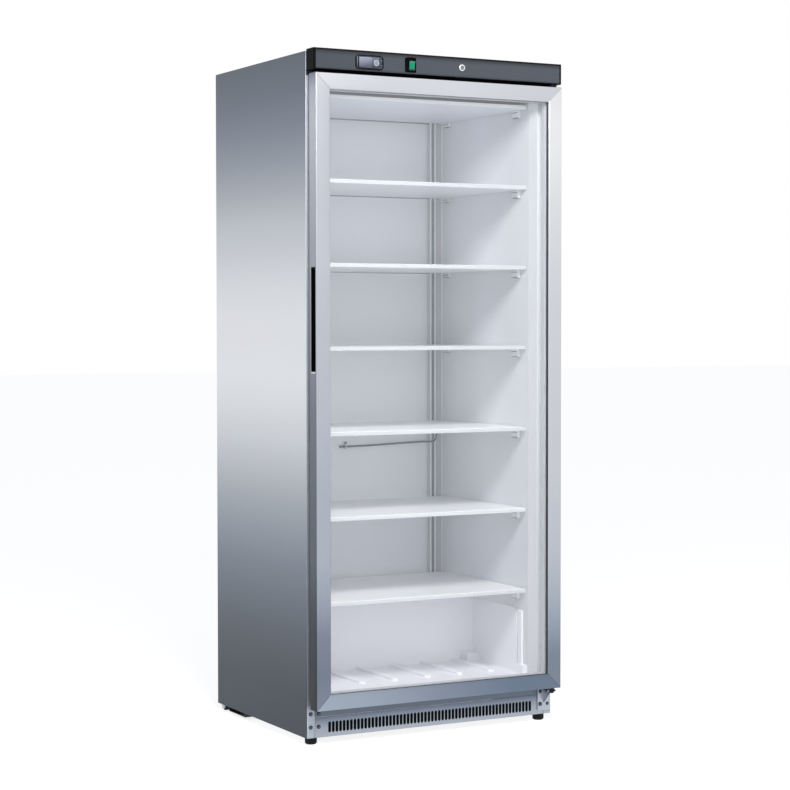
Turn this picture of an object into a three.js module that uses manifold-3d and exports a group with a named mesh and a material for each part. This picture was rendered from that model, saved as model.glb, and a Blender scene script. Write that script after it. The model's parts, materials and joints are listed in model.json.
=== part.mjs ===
// An upright display freezer with a glass door, in millimetres, +Z up. The door faces -Y.
// The origin is on the floor, under the middle of the overall box.

import * as THREE from 'three';
import { mergeVertices } from 'three/addons/utils/BufferGeometryUtils.js';
import Module from 'manifold-3d';

const wasm = await Module();
wasm.setup();

// ---- Driving dimensions ----

const WIDTH = 777;
const DEPTH = 695;
const HEIGHT = 1868;
const GAP = 0.3; // clearance between neighbouring pieces
const SHEET = 1; // outer steel sheet

// Cabinet: a steel box with a plastic liner, and foam between them
const HALF = WIDTH / 2;
const REAR = DEPTH / 2;
const DOOR_FRONT = -DEPTH / 2;
const DOOR_THICKNESS = 40;
const SEAL_DEPTH = 19;
const FRONT = DOOR_FRONT + DOOR_THICKNESS + SEAL_DEPTH;
const BACK = FRONT + 601;
const BOTTOM = 20;
const TOP = HEIGHT - 4;
const COLUMN = 24; // width of each side panel's front return
const REAR_RETURN = 18;
const COLUMN_GAP = 0.4;
const RAIL_HALF = HALF - COLUMN - COLUMN_GAP;
const INNER_HALF = HALF - SHEET - GAP; // what fits between the two side panels
const BACK_INNER = BACK - SHEET - GAP;
const BEHIND_RETURN = FRONT + 1.8; // clear of the side panels' front returns

// Liner cavity
const CAVITY_HALF = 328;
const CAVITY_BACK = 243;
const CAVITY_FLOOR = 132;
const CAVITY_CEILING = 1772;
const CAVITY_CORNER = 16;
const MOUTH_HALF = 343;
const MOUTH_DEPTH = 26.5;
const LINER_SKIN = 2.5;
const HUMP_FRONT = 45; // the liner steps forward over the compressor
const HUMP_TOP = 345;
const RAIL_LOW = CAVITY_CEILING + LINER_SKIN + 0.4; // lower edge of the rail over the mouth
const RIB_PITCH = 105;
const BAY_MOULDING_TOP = 158;

// Machine compartment behind and under the hump
const BAY_FRONT = 102.5;
const BAY_TOP = 285;
const PAN_LEVEL = 76.3;
const PAN_SHEET = 1.5;

// Evaporator shelves, listed by the height of their tops
const SHELF_HALF = 325.5;
const SHELF_FRONT = -255;
const SHELF_BACK = 220;
const SHELF_THICKNESS = 11;
const TOP_SHELF = 1757.5;
const UPPER_PITCH = 227.5;
const LOWER_PITCH = 232.3;
const UPPER_SHELVES = 4;
const SHELVES = 7;

// Evaporator pipes in the rear right corner
const PIPE_RADIUS = 4;
const PIPE_LINE = 229;
const FEED_X = 284;
const RETURN_X = 300;
const WALL_HOLE_LEVEL = 356;
const RETURN_DROP_Y = 275; // where the return pipe runs down to the machine bay
const SUCTION_Y_OFFSET = 40;
const SUCTION_LEVEL = 110;

// Air sensor, and where its lead leaves through the back wall
const SENSOR_X = -3;
const SENSOR_Y = 237;
const SENSOR_Z = 770;
const LEAD_RADIUS = 2.8;
const LEAD_EXIT = { x: 310, z: 811 };

// Shelf supports: foamed-in ladders whose hooks come through the liner
const SUPPORT_PLATE = 3;
const HOOK_LENGTH = 32;
const HOOK_FRONT = -222;
const HOOK_REAR = 176;
const HOOK_REACH = 14;
const NECK_TOP = 5; // a hook's neck, measured down from its shelf
const NECK_FOOT = 3;
const HOOK_ROWS = [
  { start: HOOK_FRONT, drop: 22 },
  { start: HOOK_REAR, drop: 14 },
];
const LADDER_LOW = 300;
const LADDER_HIGH = 1762;
const RUNG_LEVELS = [312, 1020, 1740];

// Control panel over the door
const PANEL_FRONT = -344;
const PANEL_BOTTOM = 1811;
const PANEL_WALL = 2.5;
const PANEL_CHAMFER = 5;
const PANEL_LOWER_CHAMFER = 2;
const PANEL_REAR_CHAMFER = 7;
const LIP_BOTTOM = 1800; // the lip hangs down behind the door's top edge
const LIP_DEPTH = 7;
const CONTROL_LEVEL = 1836;
const BEZEL_DEPTH = 26;

// Controller
const CONTROLLER_X = -224;
const CONTROLLER = { half: 42.5, low: -19.5, high: 19.5, radius: 10 };
const DISPLAY_X = [CONTROLLER_X - 34, CONTROLLER_X + 8];
const DISPLAY_Z = [CONTROL_LEVEL - 14, CONTROL_LEVEL + 15];
const SET_BUTTON_X = CONTROLLER_X + 21;
const SMALL_BUTTON_X = CONTROLLER_X + 36.5;
const SMALL_BUTTON_RISE = 7;
const BUTTON_FACE = PANEL_FRONT - 0.8;
const BUTTON_DEPTH = 7;

// Power switch
const ROCKER_X = -93.5;
const ROCKER_HALF = 8.5;
const ROCKER_RISE = 13; // from its pivot to each end
const ROCKER_SWING = 7; // degrees to each side of level
const ROCKER_PIVOT = { y: PANEL_FRONT + 8, z: CONTROL_LEVEL };
const ROCKER_BEZEL_X = -98.5;
const ROCKER_BEZEL = { half: 16.8, low: -19, high: 21 };

// Lock: its cam drops through a slot in the door's top edge
const LOCK_X = 62;
const LOCK_LEVEL = 1839;
const LOCK_FACE = PANEL_FRONT - 2.8;
const CAM_LENGTH = 45;
const CAM_Y = [-318.2, -316];
const CAM_SLOT_Y = [-321, -313];

// Door
const DOOR_HALF = 386;
const DOOR_BOTTOM = 102;
const DOOR_TOP = 1802.5;
const PROFILE = 43; // width of the visible frame
const MITRE_GAP = 0.15;
const HINGE_X = 366;
const HINGE_Y = -327;
const PIN_RADIUS = 5;
const BUSH_RADIUS = 8.5;
const BUSH_HEIGHT = 17;
const HINGE_PLATE = [FRONT - GAP - 3, FRONT - GAP];
const TOP_ARM_LEVEL = 1805.5;
const TOP_PLATE_HIGH = 1848;
const PULL_LOW = 1004;
const PULL_HIGH = 1288;
const PULL_FRONT = -343;
const PULL_BACK = -316;
const PULL_DEPTH = 24;

// What lies inside the door's frame, as distances back from the door's front
const PANE_EDGE = 30;
const OUTER_PANE = [3.6, 7.6];
const SPACER = [7.9, 15.9];
const INNER_PANE = [16.2, 20.2];
const SEAL_FACE = DOOR_THICKNESS + GAP;
const SEAL_END = DOOR_THICKNESS + SEAL_DEPTH - GAP;
// The seal's outer edge stays near the hinge line, so that it leaves the cabinet without rubbing.
const SEAL_EDGES = [15.5, 29];
const GROOVE = [21, 24];

// Front grille and lower fasteners
const GRILLE_TOP = 76;
const GRILLE_SHEET = 1;
const SLOTS = 59;
const SLOT_PITCH = 11;
const SLOT_WIDTH = 7.6;
const SLOT_LOW = 31;
const SLOT_HIGH = 61;
const SCREW_INNER_X = 352;
const SCREW_OUTER_X = 376;
const SCREW_LOW = 49.5;
const SCREW_HIGH = 85.5;
const SCREW_HOLE = 2.8;
const SCREW_SHANK = 2.3;

// Feet and rollers
const FOOT_X = 363;
const FOOT_Y = -262.5;
const FOOT_RADIUS = 16.5;
const ROLLER_X = 370;
const ROLLER_Y = 292;
const ROLLER_RADIUS = 14;
const ROLLER_WIDTH = 14;
const FORK_HALF = ROLLER_WIDTH / 2 + 1; // room between a fork's cheeks, each side of the wheel's middle
const AXLE_RADIUS = 3;

// Machine parts
const COMPRESSOR_X = 150;
const COMPRESSOR_Y = 179;
const COMPRESSOR_RADIUS = 68;
const TRAY_LEVEL = 8;
const TRAY_FRONT = 122;
const TRAY_BACK = 236;
const CONDENSER_Y = 331;
const CONDENSER_HALF = 270;
const CONDENSER_LOW = 380;
const CONDENSER_PITCH = 110;
const CONDENSER_PASSES = 11;
const CONDENSER_WIRES = 4;
const DRIER_X = -120;
const DRIER_Y = 116.8;
const DRIER_LEVEL = 210;
const CAPILLARY_X = DRIER_X - 96;

// ---- Finishes ----

const finish = (color, roughness, metalness) => ({ color, roughness, metalness });
const BRUSHED_STEEL = finish(0xb4b8be, 0.35, 1);
const GALVANISED = finish(0x9a9ea2, 0.5, 1);
const WHITE_COATED = finish(0xe8ebf0, 0.45, 0);
const WHITE_PLASTIC = finish(0xe6e9ee, 0.5, 0);
const FOAM = finish(0xe3d9ae, 0.9, 0);
const BLACK_PLASTIC = finish(0x0c0d0f, 0.45, 0);
const PANEL_GREY = finish(0x5c5f66, 0.5, 0);
const BLACK_STEEL = finish(0x151618, 0.4, 0.4);
const CHROME = finish(0xd8d9dc, 0.12, 1);
const GREEN_LENS = finish(0x1fa878, 0.3, 0);
const SILVER_LENS = finish(0x9da1ab, 0.3, 0.2);
const GLASS = finish(0xdfe8ea, 0.05, 0);
const RUBBER = finish(0x111111, 0.8, 0);
const SEAL_GREY = finish(0xc9ccd2, 0.7, 0);
const COPPER = finish(0xb36b45, 0.35, 1);

// ---- Solids ----

// Turns a closed geometry into a solid, with its faces pointing out.
function solidOf(geometry) {
  const bare = geometry.clone();
  bare.deleteAttribute('normal');
  bare.deleteAttribute('uv');
  const merged = mergeVertices(bare, 1e-4);
  const points = merged.attributes.position;
  const corners = Uint32Array.from(merged.index.array);
  let volume = 0;
  const [a, b, c] = [new THREE.Vector3(), new THREE.Vector3(), new THREE.Vector3()];
  for (let i = 0; i < corners.length; i += 3) {
    a.fromBufferAttribute(points, corners[i]);
    b.fromBufferAttribute(points, corners[i + 1]);
    c.fromBufferAttribute(points, corners[i + 2]);
    volume += a.dot(b.cross(c));
  }
  if (volume < 0) corners.reverse();
  const vertProperties = Float32Array.from(points.array);
  return new wasm.Manifold(new wasm.Mesh({ numProp: 3, vertProperties, triVerts: corners }));
}

function geometryOf(solid) {
  const mesh = solid.getMesh();
  const geometry = new THREE.BufferGeometry();
  geometry.setAttribute('position', new THREE.BufferAttribute(mesh.vertProperties, 3));
  geometry.setIndex(new THREE.BufferAttribute(mesh.triVerts, 1));
  geometry.computeVertexNormals();
  return geometry;
}

const join = (...solids) => solids.reduce((whole, next) => whole.add(next));
const cut = (solid, ...tools) => tools.reduce((rest, tool) => rest.subtract(tool), solid);

// Each range is [from, to] along X, Y and Z.
function box(x, y, z) {
  const geometry = new THREE.BoxGeometry(x[1] - x[0], y[1] - y[0], z[1] - z[0]);
  geometry.translate((x[0] + x[1]) / 2, (y[0] + y[1]) / 2, (z[0] + z[1]) / 2);
  return solidOf(geometry);
}

const shapeOf = (outline) => new THREE.Shape(outline.map(([u, v]) => new THREE.Vector2(u, v)));

// How an extrusion's own x, y and z lie in the object, for each axis it can run along.
const AXES = {
  x: [[0, 1, 0], [0, 0, 1], [1, 0, 0]],
  y: [[1, 0, 0], [0, 0, 1], [0, 1, 0]],
  z: [[1, 0, 0], [0, 1, 0], [0, 0, 1]],
};

function turnTo(geometry, axis) {
  const basis = AXES[axis].map((direction) => new THREE.Vector3(...direction));
  return geometry.applyMatrix4(new THREE.Matrix4().makeBasis(...basis));
}

// The outline lies across the axis, as (y, z), (x, z) or (x, y) points.
function prism(axis, outline, from, to, holes = []) {
  const shape = shapeOf(outline);
  shape.holes = holes.map(shapeOf);
  const geometry = new THREE.ExtrudeGeometry(shape, { depth: to - from, bevelEnabled: false });
  geometry.translate(0, 0, from);
  return solidOf(turnTo(geometry, axis));
}

// A round bar along an axis; the centre is given across it, as for an outline.
function rod(axis, [u, v], radius, from, to, sides = 12) {
  const geometry = new THREE.CylinderGeometry(radius, radius, to - from, sides);
  geometry.rotateX(Math.PI / 2);
  geometry.translate(u, v, (from + to) / 2);
  return solidOf(turnTo(geometry, axis));
}

// A turned piece: the profile's points are (radius, distance along the axis).
function turned(axis, [u, v], profile, sides = 16) {
  const points = profile.map(([radius, along]) => new THREE.Vector2(radius, along));
  const geometry = new THREE.LatheGeometry(points, sides);
  geometry.rotateX(Math.PI / 2);
  geometry.translate(u, v, 0);
  return solidOf(turnTo(geometry, axis));
}

// A path that is stepped exactly at its own points.
class Route extends THREE.Curve {
  constructor(points) {
    super();
    this.points = points;
  }

  getPoint(t) {
    return this.points[Math.round(t * (this.points.length - 1))].clone();
  }

  getPointAt(u) {
    return this.getPoint(u);
  }

  getSpacedPoints() {
    return this.points.map((point) => point.clone());
  }

  getTangentAt(u, target = new THREE.Vector3()) {
    const last = this.points.length - 1;
    const i = Math.round(u * last);
    const [next, before] = [this.points[Math.min(i + 1, last)], this.points[Math.max(i - 1, 0)]];
    return target.subVectors(next, before).normalize();
  }
}

// A pipe through the given points, straight between them but for rounded bends.
function pipe(points, radius, bend, sides = 6, bendSteps = 2) {
  const corners = points.map((point) => new THREE.Vector3(...point));
  const path = [corners[0]];
  for (let i = 1; i < corners.length - 1; i += 1) {
    const [before, corner, after] = [corners[i - 1], corners[i], corners[i + 1]];
    const into = corner.clone().lerp(before, bend / corner.distanceTo(before));
    const outOf = corner.clone().lerp(after, bend / corner.distanceTo(after));
    path.push(...new THREE.QuadraticBezierCurve3(into, corner, outOf).getPoints(bendSteps));
  }
  path.push(corners.at(-1));
  const section = arc(0, 0, radius, 0, 360 - 360 / sides, sides - 1);
  const settings = { steps: path.length - 1, bevelEnabled: false, extrudePath: new Route(path) };
  return solidOf(new THREE.ExtrudeGeometry(shapeOf(section), settings));
}

// Points on a circle between two angles in degrees.
function arc(u, v, radius, from, to, steps) {
  return Array.from({ length: steps + 1 }, (_, i) => {
    const angle = THREE.MathUtils.degToRad(from + ((to - from) * i) / steps);
    return [u + radius * Math.cos(angle), v + radius * Math.sin(angle)];
  });
}

function roundedRect([u0, u1], [v0, v1], radius, steps = 3) {
  return [
    ...arc(u1 - radius, v1 - radius, radius, 0, 90, steps),
    ...arc(u0 + radius, v1 - radius, radius, 90, 180, steps),
    ...arc(u0 + radius, v0 + radius, radius, 180, 270, steps),
    ...arc(u1 - radius, v0 + radius, radius, 270, 360, steps),
  ];
}

const mirrorX = (outline) => outline.map(([x, other]) => [-x, other]);

const freezer = new THREE.Group();
const cabinet = new THREE.Group();
const machine = new THREE.Group();
const door = new THREE.Group();
freezer.add(cabinet, machine, door);

function place(parent, name, solid, look, position = [0, 0, 0]) {
  const mesh = new THREE.Mesh(geometryOf(solid), new THREE.MeshStandardMaterial(look));
  mesh.name = name;
  mesh.position.set(...position);
  parent.add(mesh);
}

// ---- Outer shell ----

const shelfTops = Array.from({ length: SHELVES }, (_, i) => {
  const upper = Math.min(i, UPPER_SHELVES - 1);
  return TOP_SHELF - upper * UPPER_PITCH - (i - upper) * LOWER_PITCH;
});

const screwHole = (x, z) => rod('y', [x, z], SCREW_HOLE, HINGE_PLATE[0] - 1, FRONT + 4);

// One sheet folded round the front corner and the rear corner.
function sidePanel(side) {
  const radius = 2.5;
  const corner = arc(HALF - radius, FRONT + radius, radius, 270, 360, 3);
  const outline = [
    [HALF - COLUMN, FRONT],
    ...corner,
    [HALF, BACK],
    [HALF - REAR_RETURN, BACK],
    [HALF - REAR_RETURN, BACK - SHEET],
    [HALF - SHEET, BACK - SHEET],
    [HALF - SHEET, FRONT + SHEET],
    [HALF - COLUMN, FRONT + SHEET],
  ];
  const panel = prism('z', side > 0 ? outline : mirrorX(outline), BOTTOM, TOP - SHEET - GAP);
  const holes = [SCREW_LOW, SCREW_HIGH].map((level) => screwHole(side * SCREW_OUTER_X, level));
  return cut(panel, ...holes);
}

function topPanel() {
  const lid = box([-HALF, HALF], [FRONT, BACK], [TOP - SHEET, TOP]);
  const rail = box([-RAIL_HALF, RAIL_HALF], [FRONT, FRONT + SHEET], [RAIL_LOW, TOP - SHEET / 2]);
  return join(lid, rail);
}

function backPanel() {
  const half = HALF - REAR_RETURN - GAP;
  return box([-half, half], [BACK - SHEET, BACK], [BAY_TOP + GAP, TOP - SHEET - GAP]);
}

// ---- Base frame: pan under the foam, machine bay sheets, side rails and roller forks ----

const footBoss = (side) => rod('z', [side * FOOT_X, FOOT_Y], 10, BOTTOM, 42);

function rollerFork(side) {
  const cheek = 2.5;
  const reach = FORK_HALF + cheek / 2;
  const y = [ROLLER_Y - 11, ROLLER_Y + 11];
  const [low, high] = [side * ROLLER_X - reach, side * ROLLER_X + reach];
  const cheeks = [low, high].map((x) => box([x - cheek / 2, x + cheek / 2], y, [7, BOTTOM + 2]));
  return join(...cheeks, rod('x', [ROLLER_Y, ROLLER_RADIUS], AXLE_RADIUS, low, high));
}

function baseFrame() {
  const pan = [PAN_LEVEL, PAN_LEVEL + PAN_SHEET];
  const railZ = [BOTTOM, BOTTOM + 2];
  const width = [-INNER_HALF, INNER_HALF];
  const parts = [
    box([-RAIL_HALF, RAIL_HALF], [FRONT, FRONT + PAN_SHEET], [PAN_LEVEL, CAVITY_FLOOR - LINER_SKIN - 0.4]),
    box([-RAIL_HALF, RAIL_HALF], [FRONT, BEHIND_RETURN + 2], pan),
    box(width, [BEHIND_RETURN, BAY_FRONT + PAN_SHEET], pan),
    box(width, [BAY_FRONT, BAY_FRONT + PAN_SHEET], [PAN_LEVEL, BAY_TOP]),
    box(width, [BAY_FRONT, BACK_INNER], [BAY_TOP - PAN_SHEET, BAY_TOP]),
    box(width, [70, 98], railZ),
    box(width, [BACK_INNER - 34, BACK_INNER], railZ),
  ];
  const tools = [];
  for (const side of [-1, 1]) {
    const span = (from, to) => (side > 0 ? [from, to] : [-to, -from]);
    parts.push(
      box(span(INNER_HALF - PAN_SHEET, INNER_HALF), [BEHIND_RETURN, BACK_INNER], [BOTTOM, PAN_LEVEL + 1]),
      box(span(350, INNER_HALF), [BEHIND_RETURN, BACK_INNER], railZ),
      box(span(330, INNER_HALF), [BEHIND_RETURN, -230], railZ),
      footBoss(side),
      rollerFork(side),
    );
    tools.push(
      rod('z', [side * FOOT_X, FOOT_Y], PIN_RADIUS + GAP, 0, 60),
      box(span(ROLLER_X - FORK_HALF, ROLLER_X + FORK_HALF), [ROLLER_Y - 16, ROLLER_Y + 16], [BOTTOM - 1, 30]),
      screwHole(side * SCREW_INNER_X, SCREW_HIGH),
    );
  }
  tools.push(
    rod('z', [RETURN_X, RETURN_DROP_Y], 5, BAY_TOP - 5, BAY_TOP + 5),
    rod('z', [CAPILLARY_X, DRIER_Y], 2.4, BAY_TOP - 5, BAY_TOP + 5, 10),
  );
  return cut(join(...parts), ...tools);
}

// ---- Liner and foam ----

// The cavity seen from above, grown outwards by a skin.
function linerPlan(grow) {
  const half = CAVITY_HALF + grow;
  const radius = CAVITY_CORNER + grow;
  const back = CAVITY_BACK + grow;
  const right = [
    [MOUTH_HALF + grow, FRONT],
    [half, FRONT + MOUTH_DEPTH],
    ...arc(half - radius, back - radius, radius, 0, 90, 4),
  ];
  return [...right, ...mirrorX(right).reverse()];
}

// The liner's inside or outside: the plan drawn up, less the step over the machine bay.
function linerBody(grow) {
  const body = prism('z', linerPlan(grow), CAVITY_FLOOR - grow, CAVITY_CEILING + grow);
  const step = box([-HALF, HALF], [HUMP_FRONT + grow, BACK], [0, HUMP_TOP - grow]);
  return cut(body, step);
}

// What is moulded onto the inside of the lowest bay.
function floorRib(x) {
  const half = 12;
  const front = -175;
  const outline = [
    [half, HUMP_FRONT + 1],
    [-half, HUMP_FRONT + 1],
    ...arc(0, front + half, half, 180, 360, 6),
  ].map(([u, v]) => [u + x, v]);
  return prism('z', outline, CAVITY_FLOOR - 1, CAVITY_FLOOR + 8);
}

function lowerBayMouldings(side) {
  const span = (depth) => {
    const face = CAVITY_HALF - depth;
    return side > 0 ? [face, CAVITY_HALF + 1] : [-CAVITY_HALF - 1, -face];
  };
  const panel = [
    [HUMP_FRONT + 1, CAVITY_FLOOR - 1],
    [HUMP_FRONT + 1, 318],
    ...arc(-180, 293, 25, 90, 180, 4),
    [-205, CAVITY_FLOOR - 1],
  ];
  const [low, high] = span(3);
  return join(
    prism('x', panel, low, high),
    box(span(5), [-236, -214], [CAVITY_FLOOR - 1, 312]),
    box(span(14), [-258, -216], [CAVITY_FLOOR - 1, BAY_MOULDING_TOP]),
  );
}

const hookLevels = shelfTops.map((top) => top - SHELF_THICKNESS);

// The slots that the hooks' necks pass through, or the necks themselves.
function hookNecks(side, clearance) {
  const [from, to] = [CAVITY_HALF - 1.5, CAVITY_HALF + LINER_SKIN + 1.5];
  const x = side > 0 ? [from, to] : [-to, -from];
  return HOOK_ROWS.flatMap(({ start, drop }) => hookLevels.map((level) => {
    const y = [start + 8 - clearance, start + HOOK_LENGTH - 8 + clearance];
    return box(x, y, [level - drop + NECK_FOOT - clearance, level - NECK_TOP + clearance]);
  }));
}

function liner() {
  const flangeZ = [CAVITY_FLOOR - LINER_SKIN, CAVITY_CEILING + LINER_SKIN];
  const flangeY = [FRONT, FRONT + LINER_SKIN];
  const shell = join(
    linerBody(LINER_SKIN),
    box([MOUTH_HALF, RAIL_HALF], flangeY, flangeZ),
    box([-RAIL_HALF, -MOUTH_HALF], flangeY, flangeZ),
  );
  const mouth = prism('z', linerPlan(0).map(([x, y]) => [x, y === FRONT ? FRONT - 1 : y]),
    CAVITY_FLOOR, CAVITY_CEILING);
  const cavity = cut(mouth, box([-HALF, HALF], [HUMP_FRONT, BACK], [0, HUMP_TOP]));
  const drainCover = box([285, CAVITY_HALF + 1], [5, HUMP_FRONT + 1], [CAVITY_FLOOR - 1, BAY_MOULDING_TOP]);
  const ribs = [-2.5, -1.5, -0.5, 0.5, 1.5, 2.5].map((step) => floorRib(step * RIB_PITCH));
  const hollow = cut(shell, cavity);
  const moulded = join(hollow, drainCover, ...ribs, lowerBayMouldings(-1), lowerBayMouldings(1));
  const holes = [
    rod('y', [RETURN_X, WALL_HOLE_LEVEL], 5, CAVITY_BACK - 2, CAVITY_BACK + 6),
    rod('y', [LEAD_EXIT.x, LEAD_EXIT.z], LEAD_RADIUS + 0.6, CAVITY_BACK - 2, CAVITY_BACK + 6, 12),
  ];
  return cut(moulded, ...holes, ...hookNecks(-1, GAP), ...hookNecks(1, GAP));
}

// Where the strips of a support ladder run, grown by a clearance.
function ladderStrips(side, grow) {
  const start = CAVITY_HALF + LINER_SKIN + GAP - grow;
  const x = [start, start + SUPPORT_PLATE + 2 * grow];
  const span = side > 0 ? x : [-x[1], -x[0]];
  const uprights = HOOK_ROWS.map(({ start: y }) =>
    box(span, [y + 6 - grow, y + HOOK_LENGTH - 6 + grow], [LADDER_LOW - grow, LADDER_HIGH + grow]));
  const rungs = RUNG_LEVELS.map((level) =>
    box(span, [HOOK_FRONT + 8, HOOK_REAR + 24], [level - 8 - grow, level + 8 + grow]));
  return join(...uprights, ...rungs);
}

function foam() {
  const block = box([-INNER_HALF, INNER_HALF], [FRONT + LINER_SKIN + GAP, BACK_INNER],
    [PAN_LEVEL + PAN_SHEET + GAP, TOP - SHEET - GAP]);
  const bay = box([-HALF, HALF], [BAY_FRONT - GAP, BACK], [0, BAY_TOP + GAP]);
  const across = [RETURN_X - 5, RETURN_X + 5];
  const pipeWay = join(
    box(across, [RETURN_DROP_Y - 10, RETURN_DROP_Y + 6], [BAY_TOP - 5, WALL_HOLE_LEVEL + 5]),
    box(across, [CAVITY_BACK, RETURN_DROP_Y + 5], [WALL_HOLE_LEVEL - 5, WALL_HOLE_LEVEL + 5]),
  );
  const screwRoom = [SCREW_INNER_X, SCREW_OUTER_X].flatMap((x) => [-x, x].map((centre) =>
    rod('y', [centre, SCREW_HIGH], 4, FRONT, FRONT + 12, 10)));
  const ladders = [ladderStrips(-1, GAP), ladderStrips(1, GAP)];
  return cut(block, bay, linerBody(LINER_SKIN + GAP), pipeWay, ...screwRoom, ...ladders);
}

// ---- Shelf supports ----

function shelfSupport(side) {
  const wall = CAVITY_HALF - GAP;
  const hooks = HOOK_ROWS.flatMap(({ start, drop }) => hookLevels.map((level) => {
    const reach = CAVITY_HALF - HOOK_REACH;
    const outline = [
      [wall, level - GAP],
      [reach, level - GAP],
      [reach, level - 5],
      [reach + 3, level - 7],
      [reach + 3, level - drop + 2],
      [reach + 5, level - drop],
      [wall, level - drop],
    ];
    return prism('y', side > 0 ? outline : mirrorX(outline), start, start + HOOK_LENGTH);
  }));
  return join(ladderStrips(side, 0), ...hookNecks(side, 0), ...hooks);
}

// ---- Evaporator: hollow plate shelves and the two pipes that feed and drain them ----

function shelf() {
  const x = [-SHELF_HALF, SHELF_HALF];
  const lip = 3;
  const profile = [
    [SHELF_FRONT + 1, -SHELF_THICKNESS],
    [SHELF_BACK, -SHELF_THICKNESS],
    [SHELF_BACK, 0],
    [SHELF_FRONT + lip + 1.5, 0],
    [SHELF_FRONT + lip + 1.5, -1.5],
    [SHELF_FRONT + lip, -1.5],
    [SHELF_FRONT + lip, 0],
    [SHELF_FRONT + 1, 0],
    [SHELF_FRONT, -1],
    [SHELF_FRONT, 1 - SHELF_THICKNESS],
  ];
  const inside = box([-SHELF_HALF + 3, SHELF_HALF - 3], [SHELF_FRONT + 7, SHELF_BACK - 4],
    [0.8 - SHELF_THICKNESS, -0.8]);
  const vent = box([-10, 10], [SHELF_BACK - 6, SHELF_BACK + 1], [-8, -3]);
  return cut(prism('x', profile, ...x), inside, vent);
}

// A short bend from an upright pipe, sideways and then forward to a shelf's rear edge.
function shelfBranch(x, sideways, top) {
  const level = top - SHELF_THICKNESS / 2;
  const route = [
    [x, PIPE_LINE, level],
    [x + sideways, PIPE_LINE, level],
    [x + sideways, SHELF_BACK + GAP, level],
  ];
  return pipe(route, PIPE_RADIUS - 0.2, 6.5);
}

function feedPipe() {
  const low = shelfTops.at(-1) - SHELF_THICKNESS / 2 - PIPE_RADIUS;
  const main = rod('z', [FEED_X, PIPE_LINE], PIPE_RADIUS, low, TOP_SHELF + 8, 8);
  return join(main, ...shelfTops.map((top) => shelfBranch(FEED_X, -16, top)));
}

function returnPipe() {
  const main = rod('z', [RETURN_X, PIPE_LINE], PIPE_RADIUS, WALL_HOLE_LEVEL + 6, TOP_SHELF + 8, 8);
  const suctionY = COMPRESSOR_Y + SUCTION_Y_OFFSET;
  const toCompressor = pipe([
    [RETURN_X, PIPE_LINE, WALL_HOLE_LEVEL + 14],
    [RETURN_X, PIPE_LINE, WALL_HOLE_LEVEL],
    [RETURN_X, RETURN_DROP_Y, WALL_HOLE_LEVEL],
    [RETURN_X, RETURN_DROP_Y, SUCTION_LEVEL],
    [RETURN_X, suctionY, SUCTION_LEVEL],
    [COMPRESSOR_X + COMPRESSOR_RADIUS + 14, suctionY, SUCTION_LEVEL],
  ], PIPE_RADIUS - 0.2, 10);
  return join(main, toCompressor, ...shelfTops.map((top) => shelfBranch(RETURN_X, 15, top)));
}

// ---- Air sensor and its lead, held on the back wall ----

function airSensor() {
  const bulb = rod('x', [SENSOR_Y, SENSOR_Z], 3.5, SENSOR_X - 21, SENSOR_X + 16, 12);
  const clip = join(
    box([SENSOR_X - 7, SENSOR_X + 7], [SENSOR_Y + 2.5, CAVITY_BACK - GAP], [SENSOR_Z - 7, SENSOR_Z + 15]),
    box([SENSOR_X - 5, SENSOR_X + 5], [SENSOR_Y - 5, SENSOR_Y + 4], [SENSOR_Z + 2, SENSOR_Z + 5.5]),
    box([SENSOR_X - 5, SENSOR_X + 5], [SENSOR_Y - 5, SENSOR_Y + 4], [SENSOR_Z - 5.5, SENSOR_Z - 2]),
  );
  const screw = rod('y', [SENSOR_X, SENSOR_Z + 11], 3.5, SENSOR_Y, SENSOR_Y + 4, 8);
  return join(bulb, clip, screw);
}

function sensorLead() {
  return pipe([
    [SENSOR_X + 16.4, SENSOR_Y, SENSOR_Z],
    [SENSOR_X + 70, SENSOR_Y, SENSOR_Z + 1],
    [185, SENSOR_Y - 1, SENSOR_Z + 5.5],
    [262, SENSOR_Y - 2, SENSOR_Z + 8],
    [277, 220.8, SENSOR_Z + 8],
    [292, 220.6, SENSOR_Z + 10],
    [298, 220.6, SENSOR_Z + 19],
    [300, 220.6, SENSOR_Z + 31],
    [LEAD_EXIT.x, 224, LEAD_EXIT.z - 5],
    [LEAD_EXIT.x, 230, LEAD_EXIT.z - 2],
    [LEAD_EXIT.x, 236, LEAD_EXIT.z],
    [LEAD_EXIT.x, CAVITY_BACK + LINER_SKIN, LEAD_EXIT.z],
  ], LEAD_RADIUS, 3.5, 6);
}

// ---- Control panel and what is in it ----

const controllerOutline = (grow) => roundedRect(
  [CONTROLLER_X - CONTROLLER.half - grow, CONTROLLER_X + CONTROLLER.half + grow],
  [CONTROL_LEVEL + CONTROLLER.low - grow, CONTROL_LEVEL + CONTROLLER.high + grow],
  CONTROLLER.radius + grow,
);
const rockerOutline = (grow) => roundedRect(
  [ROCKER_BEZEL_X - ROCKER_BEZEL.half - grow, ROCKER_BEZEL_X + ROCKER_BEZEL.half + grow],
  [CONTROL_LEVEL + ROCKER_BEZEL.low - grow, CONTROL_LEVEL + ROCKER_BEZEL.high + grow],
  3 + grow,
);

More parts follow.
